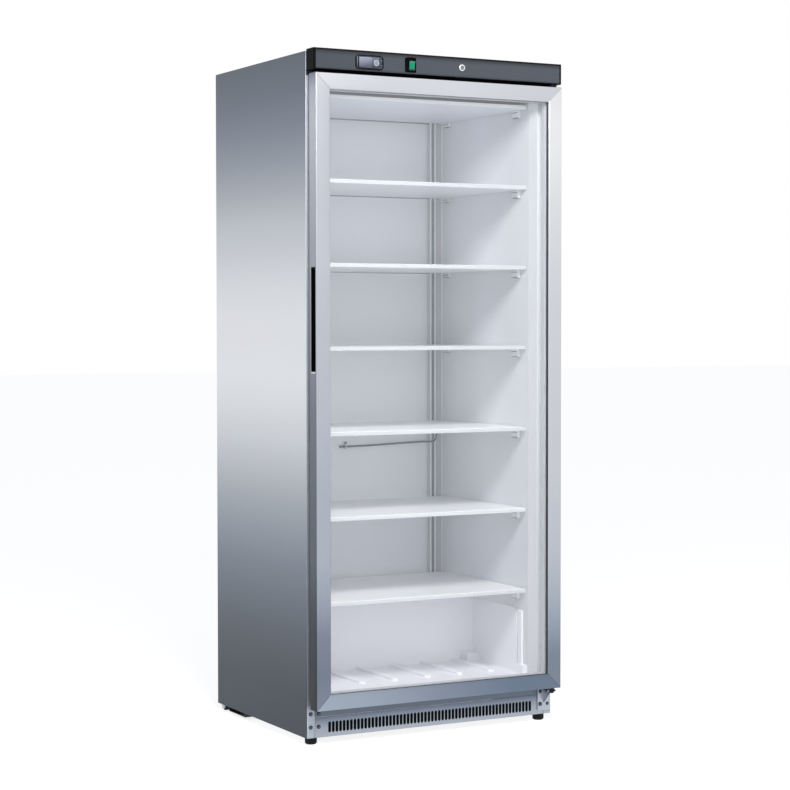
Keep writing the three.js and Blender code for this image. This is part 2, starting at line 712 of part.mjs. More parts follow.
// A hollow moulding, open at the back, with chamfered edges and a lip along its lower rear edge.
function controlPanel() {
  const rear = FRONT - GAP;
  const lipFront = rear - LIP_DEPTH;
  const c = PANEL_CHAMFER;
  const low = PANEL_LOWER_CHAMFER;
  const r = PANEL_REAR_CHAMFER;
  const sideView = [
    [PANEL_FRONT, PANEL_BOTTOM + low], [PANEL_FRONT, HEIGHT - c], [PANEL_FRONT + c, HEIGHT], [rear, HEIGHT],
    [rear, LIP_BOTTOM], [lipFront, LIP_BOTTOM], [lipFront, PANEL_BOTTOM], [PANEL_FRONT + low, PANEL_BOTTOM],
  ];
  const right = [[HALF - r, rear], [HALF, rear - r], [HALF, PANEL_FRONT + c], [HALF - c, PANEL_FRONT]];
  const fromAbove = [...right, ...mirrorX(right).reverse()];
  const body = prism('x', sideView, -HALF, HALF).intersect(prism('z', fromAbove, LIP_BOTTOM - 1, HEIGHT));
  const w = PANEL_WALL;
  const through = [PANEL_FRONT - 1, PANEL_FRONT + w + 1];
  const inside = [
    [HALF - r - w, rear + 1], [HALF - r - w, rear - 1], [HALF - w, rear - r - 1], [HALF - w, PANEL_FRONT + c],
    [HALF - c - w / 2, PANEL_FRONT + w],
  ];
  const camReach = [LOCK_X - 8, LOCK_X + CAM_LENGTH - 1];
  return cut(
    body,
    prism('z', [...inside, ...mirrorX(inside).reverse()], PANEL_BOTTOM + w, HEIGHT - w),
    prism('y', controllerOutline(GAP), ...through),
    prism('y', rockerOutline(GAP), ...through),
    rod('y', [LOCK_X, LOCK_LEVEL], 8.3, ...through),
    box([HINGE_X - 22, HINGE_X + 18.5], [lipFront - 1, rear + 1], [LIP_BOTTOM - 1, TOP_PLATE_HIGH + 4]),
    box(camReach, CAM_SLOT_Y, [PANEL_BOTTOM - 1, PANEL_BOTTOM + w + 1]),
  );
}

// The controller's case: a black face with a window and three round button holes.
function controllerCase() {
  const body = prism('y', controllerOutline(0), PANEL_FRONT + 0.4, PANEL_FRONT + BEZEL_DEPTH);
  const window = roundedRect(DISPLAY_X, DISPLAY_Z, 3);
  const holes = [
    rod('y', [SET_BUTTON_X, CONTROL_LEVEL], 8.8, PANEL_FRONT - 1, PANEL_FRONT + 10),
    ...[-1, 1].map((way) => rod('y', [SMALL_BUTTON_X, CONTROL_LEVEL + way * SMALL_BUTTON_RISE], 3.3,
      PANEL_FRONT - 1, PANEL_FRONT + 10, 12)),
  ];
  return cut(body, prism('y', window, PANEL_FRONT - 1, PANEL_FRONT + 5), ...holes);
}

function controllerDisplay() {
  const g = GAP;
  const window = roundedRect([DISPLAY_X[0] + g, DISPLAY_X[1] - g], [DISPLAY_Z[0] + g, DISPLAY_Z[1] - g], 3);
  return prism('y', window, PANEL_FRONT, PANEL_FRONT + 4.7);
}

function button(radius, sides) {
  const crown = 0.6;
  return turned('y', [0, 0], [
    [0, 0], [radius - crown, 0], [radius, crown], [radius, BUTTON_DEPTH], [0, BUTTON_DEPTH],
  ], sides);
}

function rockerHousing() {
  const body = prism('y', rockerOutline(0), PANEL_FRONT - 1.2, PANEL_FRONT + BEZEL_DEPTH);
  const rise = ROCKER_RISE + 1.6;
  const pocket = box([ROCKER_X - ROCKER_HALF - GAP, ROCKER_X + ROCKER_HALF + GAP],
    [PANEL_FRONT - 4, PANEL_FRONT + 19], [ROCKER_PIVOT.z - rise, ROCKER_PIVOT.z + rise]);
  return cut(body, pocket);
}

// Rest is on: the lower half is pressed in, and the upper half stands proud.
function rocker() {
  const tilt = THREE.MathUtils.degToRad(ROCKER_SWING);
  const end = ROCKER_RISE;
  const local = [[-9.6, -end], [-7.4, 0], [-9.6, end], [2, end - 1], [7, 4], [7, -4], [2, 1 - end]];
  const outline = local.map(([y, z]) => [
    ROCKER_PIVOT.y + y * Math.cos(tilt) - z * Math.sin(tilt),
    ROCKER_PIVOT.z + y * Math.sin(tilt) + z * Math.cos(tilt),
  ]);
  return prism('x', outline, ROCKER_X - ROCKER_HALF, ROCKER_X + ROCKER_HALF);
}

function lockHousing() {
  const outer = turned('y', [LOCK_X, LOCK_LEVEL], [
    [0, LOCK_FACE], [8.5, LOCK_FACE], [9.5, LOCK_FACE + 1], [9.5, PANEL_FRONT - GAP],
    [8, PANEL_FRONT - GAP], [8, CAM_Y[0] - 1], [0, CAM_Y[0] - 1],
  ]);
  return cut(outer, rod('y', [LOCK_X, LOCK_LEVEL], 5.8, LOCK_FACE - 1, CAM_Y[0]));
}

// The plug turns with its cam, which drops through a slot in the door's top edge to lock it.
function lockPlug() {
  const plug = rod('y', [LOCK_X, LOCK_LEVEL], 5.4, LOCK_FACE + 0.5, CAM_Y[1]);
  const camOutline = [
    ...arc(LOCK_X, LOCK_LEVEL, 7, 90, 270, 6),
    [LOCK_X + CAM_LENGTH - 2, LOCK_LEVEL - 5],
    [LOCK_X + CAM_LENGTH, LOCK_LEVEL - 3],
    [LOCK_X + CAM_LENGTH, LOCK_LEVEL + 3],
    [LOCK_X + CAM_LENGTH - 2, LOCK_LEVEL + 5],
  ];
  const keyway = box([LOCK_X - 0.8, LOCK_X + 0.8], [LOCK_FACE - 1, LOCK_FACE + 9],
    [LOCK_LEVEL - 3.6, LOCK_LEVEL + 3.6]);
  return cut(join(plug, prism('y', camOutline, ...CAM_Y)), keyway);
}

// ---- Grille and lower fasteners ----

function slotOutline(x) {
  const r = SLOT_WIDTH / 2;
  return [
    ...arc(x, SLOT_HIGH - r, r, 0, 180, 3),
    ...arc(x, SLOT_LOW + r, r, 180, 360, 3),
  ];
}

function grille() {
  const plate = [
    [-RAIL_HALF, BOTTOM], [RAIL_HALF, BOTTOM], [RAIL_HALF, GRILLE_TOP], [-RAIL_HALF, GRILLE_TOP],
  ];
  const slots = Array.from({ length: SLOTS }, (_, i) => slotOutline((i - (SLOTS - 1) / 2) * SLOT_PITCH));
  const face = prism('y', plate, FRONT, FRONT + GRILLE_SHEET, slots);
  const fold = box([-325, 325], [FRONT, FRONT + 12], [BOTTOM, BOTTOM + GRILLE_SHEET]);
  return cut(join(face, fold), screwHole(-SCREW_INNER_X, SCREW_LOW), screwHole(SCREW_INNER_X, SCREW_LOW));
}

// A pan-head screw whose head bears at y = 0 and whose shank runs back along +Y.
function screw(headRadius, length) {
  return turned('y', [0, 0], [
    [0, -2.6], [headRadius - 2, -2.6], [headRadius, -1], [headRadius, 0],
    [SCREW_SHANK, 0], [SCREW_SHANK, length], [0, length],
  ], 12);
}

// ---- Hinges ----

function hingeArm(level, thickness) {
  const tip = 13;
  const outline = [
    [HINGE_X - 16, HINGE_PLATE[1]],
    [HINGE_X - 16, HINGE_Y + 4],
    ...arc(HINGE_X, HINGE_Y, tip, 180, 360, 6),
    [HINGE_X + 16, HINGE_Y + 8],
    [HINGE_X + 16, HINGE_PLATE[1]],
  ];
  return prism('z', outline, level, level + thickness);
}

function bottomHinge() {
  const arm = 91;
  const armTop = arm + 4;
  const plate = prism('y', roundedRect([343.5, 384.5], [31, armTop], 4), ...HINGE_PLATE);
  const webRear = HINGE_PLATE[1] - 1;
  const webOutline = [[webRear, 52], [webRear, arm + 1], [HINGE_Y - 4, arm + 1]];
  const holes = [[SCREW_INNER_X, SCREW_LOW], [SCREW_OUTER_X, SCREW_LOW], [SCREW_INNER_X, SCREW_HIGH]]
    .map((centre) => screwHole(...centre));
  return join(
    cut(plate, ...holes),
    hingeArm(arm, 4),
    prism('x', webOutline, HINGE_X - 4, HINGE_X - 1),
    rod('z', [HINGE_X, HINGE_Y], PIN_RADIUS, arm, 116),
    rod('z', [HINGE_X, HINGE_Y], 9, armTop - 1, DOOR_BOTTOM - GAP),
    rod('z', [HINGE_X, HINGE_Y], 8, arm - 5, arm + 1, 6),
  );
}

function topHinge() {
  const arm = TOP_ARM_LEVEL;
  const plate = prism('y', roundedRect([346, 383], [arm, TOP_PLATE_HIGH], 4), ...HINGE_PLATE);
  return join(
    plate,
    hingeArm(arm, 4),
    rod('z', [HINGE_X, HINGE_Y], PIN_RADIUS, DOOR_TOP - BUSH_HEIGHT + 1.5, arm + 1),
    rod('z', [HINGE_X, HINGE_Y], 9, DOOR_TOP + GAP, arm + 1),
  );
}

// ---- Feet and rollers ----

function foot() {
  return turned('z', [0, 0], [
    [0, 0], [FOOT_RADIUS - 3, 0], [FOOT_RADIUS, 4], [FOOT_RADIUS, 17], [FOOT_RADIUS - 1.5, 18.5],
    [PIN_RADIUS, 18.5], [PIN_RADIUS, 55], [0, 55],
  ]);
}

function roller() {
  const tread = ROLLER_WIDTH / 2;
  const wheel = turned('x', [0, 0], [
    [0, -tread], [ROLLER_RADIUS - 1.5, -tread], [ROLLER_RADIUS, 1.5 - tread],
    [ROLLER_RADIUS, tread - 1.5], [ROLLER_RADIUS - 1.5, tread], [0, tread],
  ]);
  return cut(wheel, rod('x', [0, 0], 3.3, -tread - 1, tread + 1));
}

// ---- Door ----

const DOOR = {
  left: -DOOR_HALF, right: DOOR_HALF, bottom: DOOR_BOTTOM, top: DOOR_TOP, front: DOOR_FRONT,
};

const inset = (frame, side, inward) =>
  frame[side] + (side === 'left' || side === 'bottom' ? inward : -inward);

// One side of a rectangular frame with its ends cut at 45 degrees. The section's points are
// (inward from the frame's outer edge, back from its front).
function mitred(section, side, frame) {
  const geometry = new THREE.ExtrudeGeometry(shapeOf(section), { depth: 1, bevelEnabled: false });
  const points = geometry.attributes.position;
  const upright = side === 'left' || side === 'right';
  const [low, high] = upright ? [frame.bottom, frame.top] : [frame.left, frame.right];
  for (let i = 0; i < points.count; i += 1) {
    const [inward, depth] = [points.getX(i), points.getY(i)];
    const fromEnd = inward + MITRE_GAP;
    const along = points.getZ(i) > 0.5 ? high - fromEnd : low + fromEnd;
    const across = inset(frame, side, inward);
    points.setXYZ(i, upright ? across : along, frame.front + depth, upright ? along : across);
  }
  return solidOf(geometry);
}

// The same section carried all the way round the frame.
function ring(section, frame) {
  const corners = [['right', 'top'], ['left', 'top'], ['left', 'bottom'], ['right', 'bottom']];
  const points = corners.flatMap(([upright, level]) => section.flatMap(([inward, depth]) =>
    [inset(frame, upright, inward), frame.front + depth, inset(frame, level, inward)]));
  const count = section.length;
  const faces = corners.flatMap((_, k) => section.flatMap((__, j) => {
    const [here, next] = [k * count, ((k + 1) % corners.length) * count];
    const after = (j + 1) % count;
    return [here + j, here + after, next + after, here + j, next + after, next + j];
  }));
  const geometry = new THREE.BufferGeometry();
  geometry.setAttribute('position', new THREE.Float32BufferAttribute(points, 3));
  geometry.setIndex(faces);
  return solidOf(geometry);
}

// The visible frame: a channel with a bevelled inner edge and a short return at the back.
const FRAME_SECTION = [
  [0, 2.5], [0.7, 0.7], [2.5, 0], [PROFILE - 4.5, 0], [PROFILE, 1.8], [PROFILE, 3.3],
  [PROFILE - 5, 1.6], [3, 1.6], [1.6, 3], [1.6, 38.4], [10, 38.4], [10, DOOR_THICKNESS],
  [0, DOOR_THICKNESS],
];
const SPACER_SECTION = roundedRect([36, PROFILE - 1], SPACER, 0.5, 1);
const GASKET_SECTION = [
  [SEAL_EDGES[0], SEAL_FACE], [GROOVE[0] + GAP, SEAL_FACE], [GROOVE[0] + GAP, 35], [GROOVE[1] - GAP, 35],
  [GROOVE[1] - GAP, SEAL_FACE], [SEAL_EDGES[1], SEAL_FACE], [SEAL_EDGES[1], SEAL_FACE + 4],
  [SEAL_EDGES[1] - 3, SEAL_FACE + 7], [SEAL_EDGES[1], SEAL_FACE + 10], [SEAL_EDGES[1], SEAL_END],
  [SEAL_EDGES[0], SEAL_END], [SEAL_EDGES[0], SEAL_FACE + 10], [SEAL_EDGES[0] + 3, SEAL_FACE + 7],
  [SEAL_EDGES[0], SEAL_FACE + 4],
];

const INNER_FRAME_SECTION = [
  [2.4, 20.5], [PROFILE + 1.5, 20.5], [PROFILE + 1.5, 37], [PROFILE - 1.5, DOOR_THICKNESS],
  [GROOVE[1], DOOR_THICKNESS], [GROOVE[1], 34], [GROOVE[0], 34], [GROOVE[0], DOOR_THICKNESS],
  [10.4, DOOR_THICKNESS], [10.4, 38], [2.4, 38],
];

function frameLeft() {
  const opening = box([-DOOR_HALF - 1, -DOOR_HALF + 4], [PULL_FRONT, PULL_BACK], [PULL_LOW, PULL_HIGH]);
  return cut(mitred(FRAME_SECTION, 'left', DOOR), opening);
}

// A black tray let into the door's free edge, hollowed under the front so that fingers hook in.
function handleInsert() {
  const outer = -DOOR_HALF + 0.2;
  const shell = box([outer, outer + PULL_DEPTH], [PULL_FRONT + GAP, PULL_BACK - GAP],
    [PULL_LOW + GAP, PULL_HIGH - GAP]);
  const floor = outer + PULL_DEPTH - 2;
  const pocket = [
    [outer - 1, PULL_LOW + 3], [outer - 1, PULL_HIGH - 3], [floor, PULL_HIGH - 16], [floor, PULL_LOW + 16],
  ];
  return cut(shell, prism('y', pocket, PULL_FRONT + 2.3, PULL_BACK - 2.3));
}

const hingeBush = (low, high) => rod('z', [HINGE_X, HINGE_Y], BUSH_RADIUS, low, high);
const pinHole = (low, high) => rod('z', [HINGE_X, HINGE_Y], PIN_RADIUS + GAP, low, high);

function frameBottom() {
  const bar = mitred(FRAME_SECTION, 'bottom', DOOR);
  const bush = hingeBush(DOOR_BOTTOM + 1, DOOR_BOTTOM + BUSH_HEIGHT);
  return cut(join(bar, bush), pinHole(DOOR_BOTTOM - 1, DOOR_BOTTOM + BUSH_HEIGHT + 1));
}

function frameTop() {
  const bar = mitred(FRAME_SECTION, 'top', DOOR);
  const bush = hingeBush(DOOR_TOP - BUSH_HEIGHT, DOOR_TOP - 1);
  const camSlot = box([LOCK_X - 8, LOCK_X + 34], CAM_SLOT_Y, [DOOR_TOP - 3, DOOR_TOP + 1]);
  return cut(join(bar, bush), pinHole(DOOR_TOP - BUSH_HEIGHT - 1, DOOR_TOP + 1), camSlot);
}

function innerFrame() {
  const bushRoom = [[DOOR_BOTTOM, DOOR_BOTTOM + BUSH_HEIGHT + 1], [DOOR_TOP - BUSH_HEIGHT - 1, DOOR_TOP]]
    .map(([low, high]) => rod('z', [HINGE_X, HINGE_Y], BUSH_RADIUS + 2 * GAP, low, high));
  const pullRoom = box([-DOOR_HALF, -DOOR_HALF + PULL_DEPTH + 0.8], [PULL_FRONT, PULL_BACK + 0.6],
    [PULL_LOW - 0.6, PULL_HIGH + 0.6]);
  const camDepth = [CAM_SLOT_Y[0] - 2, CAM_SLOT_Y[1] + 2];
  const camRoom = box([LOCK_X - 10, LOCK_X + 36], camDepth, [DOOR_TOP - 12, DOOR_TOP]);
  return cut(ring(INNER_FRAME_SECTION, DOOR), ...bushRoom, pullRoom, camRoom);
}

function pane([front, back]) {
  const half = DOOR_HALF - PANE_EDGE;
  const level = [DOOR_BOTTOM + PANE_EDGE, DOOR_TOP - PANE_EDGE];
  return box([-half, half], [DOOR_FRONT + front, DOOR_FRONT + back], level);
}

// ---- Machine compartment ----

function compressorTray() {
  const half = INNER_HALF - 1;
  const profile = [
    [TRAY_FRONT, BOTTOM - GAP], [TRAY_FRONT, TRAY_LEVEL], [TRAY_BACK, TRAY_LEVEL], [TRAY_BACK, BOTTOM - GAP],
    [TRAY_BACK - 2, BOTTOM - GAP], [TRAY_BACK - 2, TRAY_LEVEL + 2], [TRAY_FRONT + 2, TRAY_LEVEL + 2],
    [TRAY_FRONT + 2, BOTTOM - GAP],
  ];
  return prism('x', profile, -half, half);
}

function compressor() {
  const centre = [COMPRESSOR_X, COMPRESSOR_Y];
  const r = COMPRESSOR_RADIUS;
  const pot = turned('z', centre, [
    [0, 30], [r - 18, 32], [r - 4, 44], [r, 62], [r, 100], [r + 3, 101], [r + 3, 107], [r, 108],
    [r, 150], [r - 6, 172], [r - 24, 190], [0, 196],
  ]);
  const span = (centre, half) => [centre - half, centre + half];
  const plate = box(span(COMPRESSOR_X, 95), span(COMPRESSOR_Y, 50), [26, 29]);
  const cradle = rod('z', centre, r - 20, 27, 40);
  const grommets = [-1, 1].flatMap((i) => [-1, 1].map((j) =>
    rod('z', [COMPRESSOR_X + i * 82, COMPRESSOR_Y + j * 40], 10, TRAY_LEVEL + 2 + GAP, 33, 8)));
  const suctionLine = [COMPRESSOR_Y + SUCTION_Y_OFFSET, SUCTION_LEVEL];
  const suction = rod('x', suctionLine, 6, COMPRESSOR_X + 40, COMPRESSOR_X + r + 13.7, 10);
  const discharge = rod('y', [COMPRESSOR_X - 30, 80], 4.5, COMPRESSOR_Y + 40, COMPRESSOR_Y + r + 12, 10);
  return join(pot, plate, cradle, ...grommets, suction, discharge);
}

function terminalBox() {
  const right = COMPRESSOR_X - COMPRESSOR_RADIUS - 4;
  const body = box([right - 34, right], [COMPRESSOR_Y - 32, COMPRESSOR_Y + 32], [72, 140]);
  const glandLine = [right - 17, 92];
  const start = COMPRESSOR_Y + 31;
  const profile = [[0, start], [9, start], [9, start + 9], [7, start + 17], [0, start + 17]];
  const gland = turned('y', glandLine, profile, 12);
  const bore = rod('y', glandLine, 4.2, COMPRESSOR_Y + 36, COMPRESSOR_Y + 50);
  return cut(join(body, gland), bore);
}

// One snaking tube from the compressor to the drier, held flat by straps and fin wires.
function condenser() {
  const tube = 2.8;
  const turn = CONDENSER_HALF + 26;
  const levels = Array.from({ length: CONDENSER_PASSES }, (_, i) => CONDENSER_LOW + i * CONDENSER_PITCH);
  const passes = levels.flatMap((level, i) => {
    const side = i % 2 ? 1 : -1;
    return [[side * turn, CONDENSER_Y, level], [-side * turn, CONDENSER_Y, level]];
  });
  const dischargeX = COMPRESSOR_X - 30;
  const downX = CONDENSER_HALF + 44;
  passes[passes.length - 1][0] = downX;
  const coil = pipe([
    [dischargeX, COMPRESSOR_Y + COMPRESSOR_RADIUS + 12.3, 80],
    [dischargeX, CONDENSER_Y, 80],
    [dischargeX, CONDENSER_Y, 260],
    [-turn, CONDENSER_Y, 260],
    ...passes,
    [downX, CONDENSER_Y, 240],
    [downX, DRIER_Y, DRIER_LEVEL],
    [DRIER_X + 80 + GAP, DRIER_Y, DRIER_LEVEL],
  ], tube, 24, 6, 3);
  const [low, high] = [CONDENSER_LOW - 30, levels.at(-1) + 30];
  const straps = [-1, 1].flatMap((side) => {
    const x = side * (CONDENSER_HALF - 22);
    return [
      box([x - 8, x + 8], [CONDENSER_Y - 4, CONDENSER_Y - 2], [low, high]),
      ...[low + 12, high - 12].map((level) =>
        rod('y', [x, level], 5, BACK + GAP, CONDENSER_Y - 3, 10)),
    ];
  });
  const wires = Array.from({ length: CONDENSER_WIRES }, (_, i) => {
    const x = ((i + 0.5) / CONDENSER_WIRES - 0.5) * 2 * (CONDENSER_HALF - 40);
    return box([x - 0.9, x + 0.9], [CONDENSER_Y + 2, CONDENSER_Y + 3.8], [low + 6, high - 6]);
  });
  return join(coil, ...straps, ...wires);
}

// The filter-drier lies along the bay's front wall in two clips of its own.
function filterDrier() {
  const body = turned('x', [DRIER_Y, DRIER_LEVEL], [
    [0, DRIER_X - 78], [3, DRIER_X - 78], [3, DRIER_X - 62], [10, DRIER_X - 50], [10, DRIER_X + 50],
    [2.5, DRIER_X + 64], [2.5, DRIER_X + 80], [0, DRIER_X + 80],
  ], 14);
  const clips = [DRIER_X - 30, DRIER_X + 30].map((x) =>
    box([x - 5, x + 5], [BAY_FRONT + PAN_SHEET + GAP, DRIER_Y], [DRIER_LEVEL - 8, DRIER_LEVEL + 8]));
  const capillary = pipe([
    [DRIER_X - 76, DRIER_Y, DRIER_LEVEL],
    [CAPILLARY_X, DRIER_Y, DRIER_LEVEL],
    [CAPILLARY_X, DRIER_Y, BAY_TOP - GAP],
  ], 1.8, 8, 5);
  return join(body, ...clips, capillary);
}

// A bent wire at the top of the back that keeps the cabinet off the wall.
function wallSpacer() {
  const wire = 4;
  const level = 1700;
  return pipe([
    [-250, BACK + GAP, level], [-250, REAR - wire, level],
    [250, REAR - wire, level], [250, BACK + GAP, level],
  ], wire, 14, 8);
}

// ---- Assembly ----

place(cabinet, 'left_side_panel', sidePanel(-1), BRUSHED_STEEL);
place(cabinet, 'right_side_panel', sidePanel(1), BRUSHED_STEEL);
place(cabinet, 'top_panel', topPanel(), BRUSHED_STEEL);
place(cabinet, 'back_panel', backPanel(), GALVANISED);
place(cabinet, 'base_frame', baseFrame(), GALVANISED);
place(cabinet, 'insulation_foam', foam(), FOAM);
place(cabinet, 'inner_liner', liner(), WHITE_PLASTIC);
place(cabinet, 'shelf_support_left', shelfSupport(-1), WHITE_PLASTIC);
place(cabinet, 'shelf_support_right', shelfSupport(1), WHITE_PLASTIC);
const plate = shelf();
shelfTops.forEach((top, i) => {
  place(cabinet, `evaporator_shelf_${i + 1}`, plate, WHITE_COATED, [0, 0, top]);
});
place(cabinet, 'evaporator_feed_pipe', feedPipe(), WHITE_COATED);
place(cabinet, 'evaporator_return_pipe', returnPipe(), WHITE_COATED);
place(cabinet, 'air_sensor', airSensor(), BLACK_PLASTIC);
place(cabinet, 'sensor_lead', sensorLead(), BLACK_PLASTIC);

place(cabinet, 'control_panel', controlPanel(), PANEL_GREY);
place(cabinet, 'controller_case', controllerCase(), BLACK_PLASTIC);
place(cabinet, 'controller_display', controllerDisplay(), SILVER_LENS);
place(cabinet, 'set_button', button(8.4, 16), SILVER_LENS, [SET_BUTTON_X, BUTTON_FACE, CONTROL_LEVEL]);
for (const [name, way] of [['up_button', 1], ['down_button', -1]]) {
  const centre = [SMALL_BUTTON_X, BUTTON_FACE, CONTROL_LEVEL + way * SMALL_BUTTON_RISE];
  place(cabinet, name, button(3, 10), PANEL_GREY, centre);
}
place(cabinet, 'rocker_housing', rockerHousing(), BLACK_PLASTIC);
place(cabinet, 'power_rocker', rocker(), GREEN_LENS);
place(cabinet, 'lock_housing', lockHousing(), CHROME);
place(cabinet, 'lock_plug', lockPlug(), CHROME);

place(cabinet, 'front_grille', grille(), BRUSHED_STEEL);
place(cabinet, 'bottom_hinge', bottomHinge(), BRUSHED_STEEL);
place(cabinet, 'top_hinge', topHinge(), BRUSHED_STEEL);
const seatOnSheet = FRONT - GAP;
const seatOnHinge = HINGE_PLATE[0] - GAP;
const SCREWS = [
  ['hinge_screw_1', SCREW_INNER_X, seatOnHinge, SCREW_HIGH, 5.2],
  ['hinge_screw_2', SCREW_INNER_X, seatOnHinge, SCREW_LOW, 6],
  ['hinge_screw_3', SCREW_OUTER_X, seatOnHinge, SCREW_LOW, 4.8],
  ['column_screw_upper', -SCREW_OUTER_X, seatOnSheet, SCREW_HIGH, 5.6],
  ['column_screw_lower', -SCREW_OUTER_X, seatOnSheet, SCREW_LOW, 5.6],
  ['rail_screw_left', -SCREW_INNER_X, seatOnSheet, SCREW_HIGH, 5.6],
  ['grille_screw_left', -SCREW_INNER_X, seatOnSheet, SCREW_LOW, 5.6],
];
for (const [name, x, y, z, head] of SCREWS) {
  place(cabinet, name, screw(head, 10), BLACK_STEEL, [x, y, z]);
}
place(cabinet, 'front_foot_left', foot(), RUBBER, [-FOOT_X, FOOT_Y, 0]);
place(cabinet, 'front_foot_right', foot(), RUBBER, [FOOT_X, FOOT_Y, 0]);
place(cabinet, 'rear_roller_left', roller(), RUBBER, [-ROLLER_X, ROLLER_Y, ROLLER_RADIUS]);
place(cabinet, 'rear_roller_right', roller(), RUBBER, [ROLLER_X, ROLLER_Y, ROLLER_RADIUS]);

place(machine, 'compressor_tray', compressorTray(), BLACK_STEEL);
place(machine, 'compressor', compressor(), BLACK_STEEL);
place(machine, 'terminal_box', terminalBox(), BLACK_PLASTIC);
place(machine, 'condenser', condenser(), BLACK_STEEL);
place(machine, 'filter_drier', filterDrier(), COPPER);
place(machine, 'wall_spacer', wallSpacer(), BLACK_STEEL);

place(door, 'door_frame_left', frameLeft(), BRUSHED_STEEL);
place(door, 'door_frame_right', mitred(FRAME_SECTION, 'right', DOOR), BRUSHED_STEEL);
place(door, 'door_frame_top', frameTop(), BRUSHED_STEEL);
place(door, 'door_frame_bottom', frameBottom(), BRUSHED_STEEL);
place(door, 'door_inner_frame', innerFrame(), WHITE_PLASTIC);
place(door, 'glass_outer', pane(OUTER_PANE), GLASS);
place(door, 'glass_inner', pane(INNER_PANE), GLASS);
place(door, 'glass_spacer', ring(SPACER_SECTION, DOOR), BLACK_PLASTIC);
place(door, 'door_gasket', ring(GASKET_SECTION, DOOR), SEAL_GREY);
place(door, 'door_handle_insert', handleInsert(), BLACK_PLASTIC);

export default freezer;
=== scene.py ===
import json
import math

import bmesh
import bpy
from mathutils import Matrix, Vector


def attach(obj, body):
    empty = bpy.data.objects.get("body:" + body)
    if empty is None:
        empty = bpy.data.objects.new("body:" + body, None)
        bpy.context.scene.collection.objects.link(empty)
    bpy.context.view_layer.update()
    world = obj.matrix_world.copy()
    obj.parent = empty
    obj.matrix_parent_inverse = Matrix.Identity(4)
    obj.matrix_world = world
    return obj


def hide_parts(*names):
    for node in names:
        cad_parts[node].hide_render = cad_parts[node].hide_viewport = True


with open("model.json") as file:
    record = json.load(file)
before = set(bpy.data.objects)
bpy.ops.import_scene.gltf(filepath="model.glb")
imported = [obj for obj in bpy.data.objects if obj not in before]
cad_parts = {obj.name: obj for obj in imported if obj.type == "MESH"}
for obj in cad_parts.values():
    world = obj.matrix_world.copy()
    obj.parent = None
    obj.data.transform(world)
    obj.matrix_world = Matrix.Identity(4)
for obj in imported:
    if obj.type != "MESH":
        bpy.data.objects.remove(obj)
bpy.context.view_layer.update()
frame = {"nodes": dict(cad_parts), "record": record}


# ---- Camera ----
# It stands in front and to the left, a little above the middle of the door, and looks almost
# level. Its place and lens come from the cabinet's edges in the photograph.

lens = bpy.data.cameras.new("camera")
lens.sensor_width = 36
lens.lens = 92.93
camera = bpy.data.objects.new("camera", lens)
camera.location = (-2.7600, -5.2093, 1.1343)
camera.rotation_euler = [math.radians(angle) for angle in (88.031, 0.043, -28.239)]
bpy.context.collection.objects.link(camera)
bpy.context.scene.camera = camera
bpy.context.scene.view_settings.view_transform = "Standard"


# ---- Studio ----
# A white floor and a white room. A soft lamp in front of the door and above it lets the shelves
# shade the liner's walls. Two broad ones, which no steel mirrors, light the left side and the front.

def shade(red, green, blue):
    """A colour as 0 to 255 on a screen, turned into the linear numbers a shader takes."""
    def linear(level):
        level /= 255
        return level / 12.92 if level < 0.04 else ((level + 0.055) / 1.055) ** 2.4
    return linear(red), linear(green), linear(blue), 1.0


freezer_width = 777  # mm
freezer_height = 1868


class Field:
    """A shader's value, colour or vector that works in sums like a number."""

    def __init__(self, finish, socket):
        self.finish = finish
        self.socket = socket

    def combined(self, operation, left, right):
        kinds = {side.socket.type for side in (left, right) if isinstance(side, Field)}
        if "RGBA" in kinds:
            settings = {"data_type": "RGBA", "blend_type": operation}
            return self.finish.node("ShaderNodeMix", settings, {0: 1.0, 6: left, 7: right}, 2)
        kind = "ShaderNodeVectorMath" if "VECTOR" in kinds else "ShaderNodeMath"
        return self.finish.node(kind, {"operation": operation}, {0: left, 1: right})

    def __add__(self, other):
        return self.combined("ADD", self, other)

    def __radd__(self, other):
        return self.combined("ADD", other, self)

    def __sub__(self, other):
        return self.combined("SUBTRACT", self, other)

    def __rsub__(self, other):
        return self.combined("SUBTRACT", other, self)

    def __mul__(self, other):
        return self.combined("MULTIPLY", self, other)

    def __rmul__(self, other):
        return self.combined("MULTIPLY", other, self)

    def __truediv__(self, other):
        return self.combined("DIVIDE", self, other)

    def __gt__(self, other):
        return self.combined("GREATER_THAN", self, other)

    def __lt__(self, other):
        return self.combined("LESS_THAN", self, other)


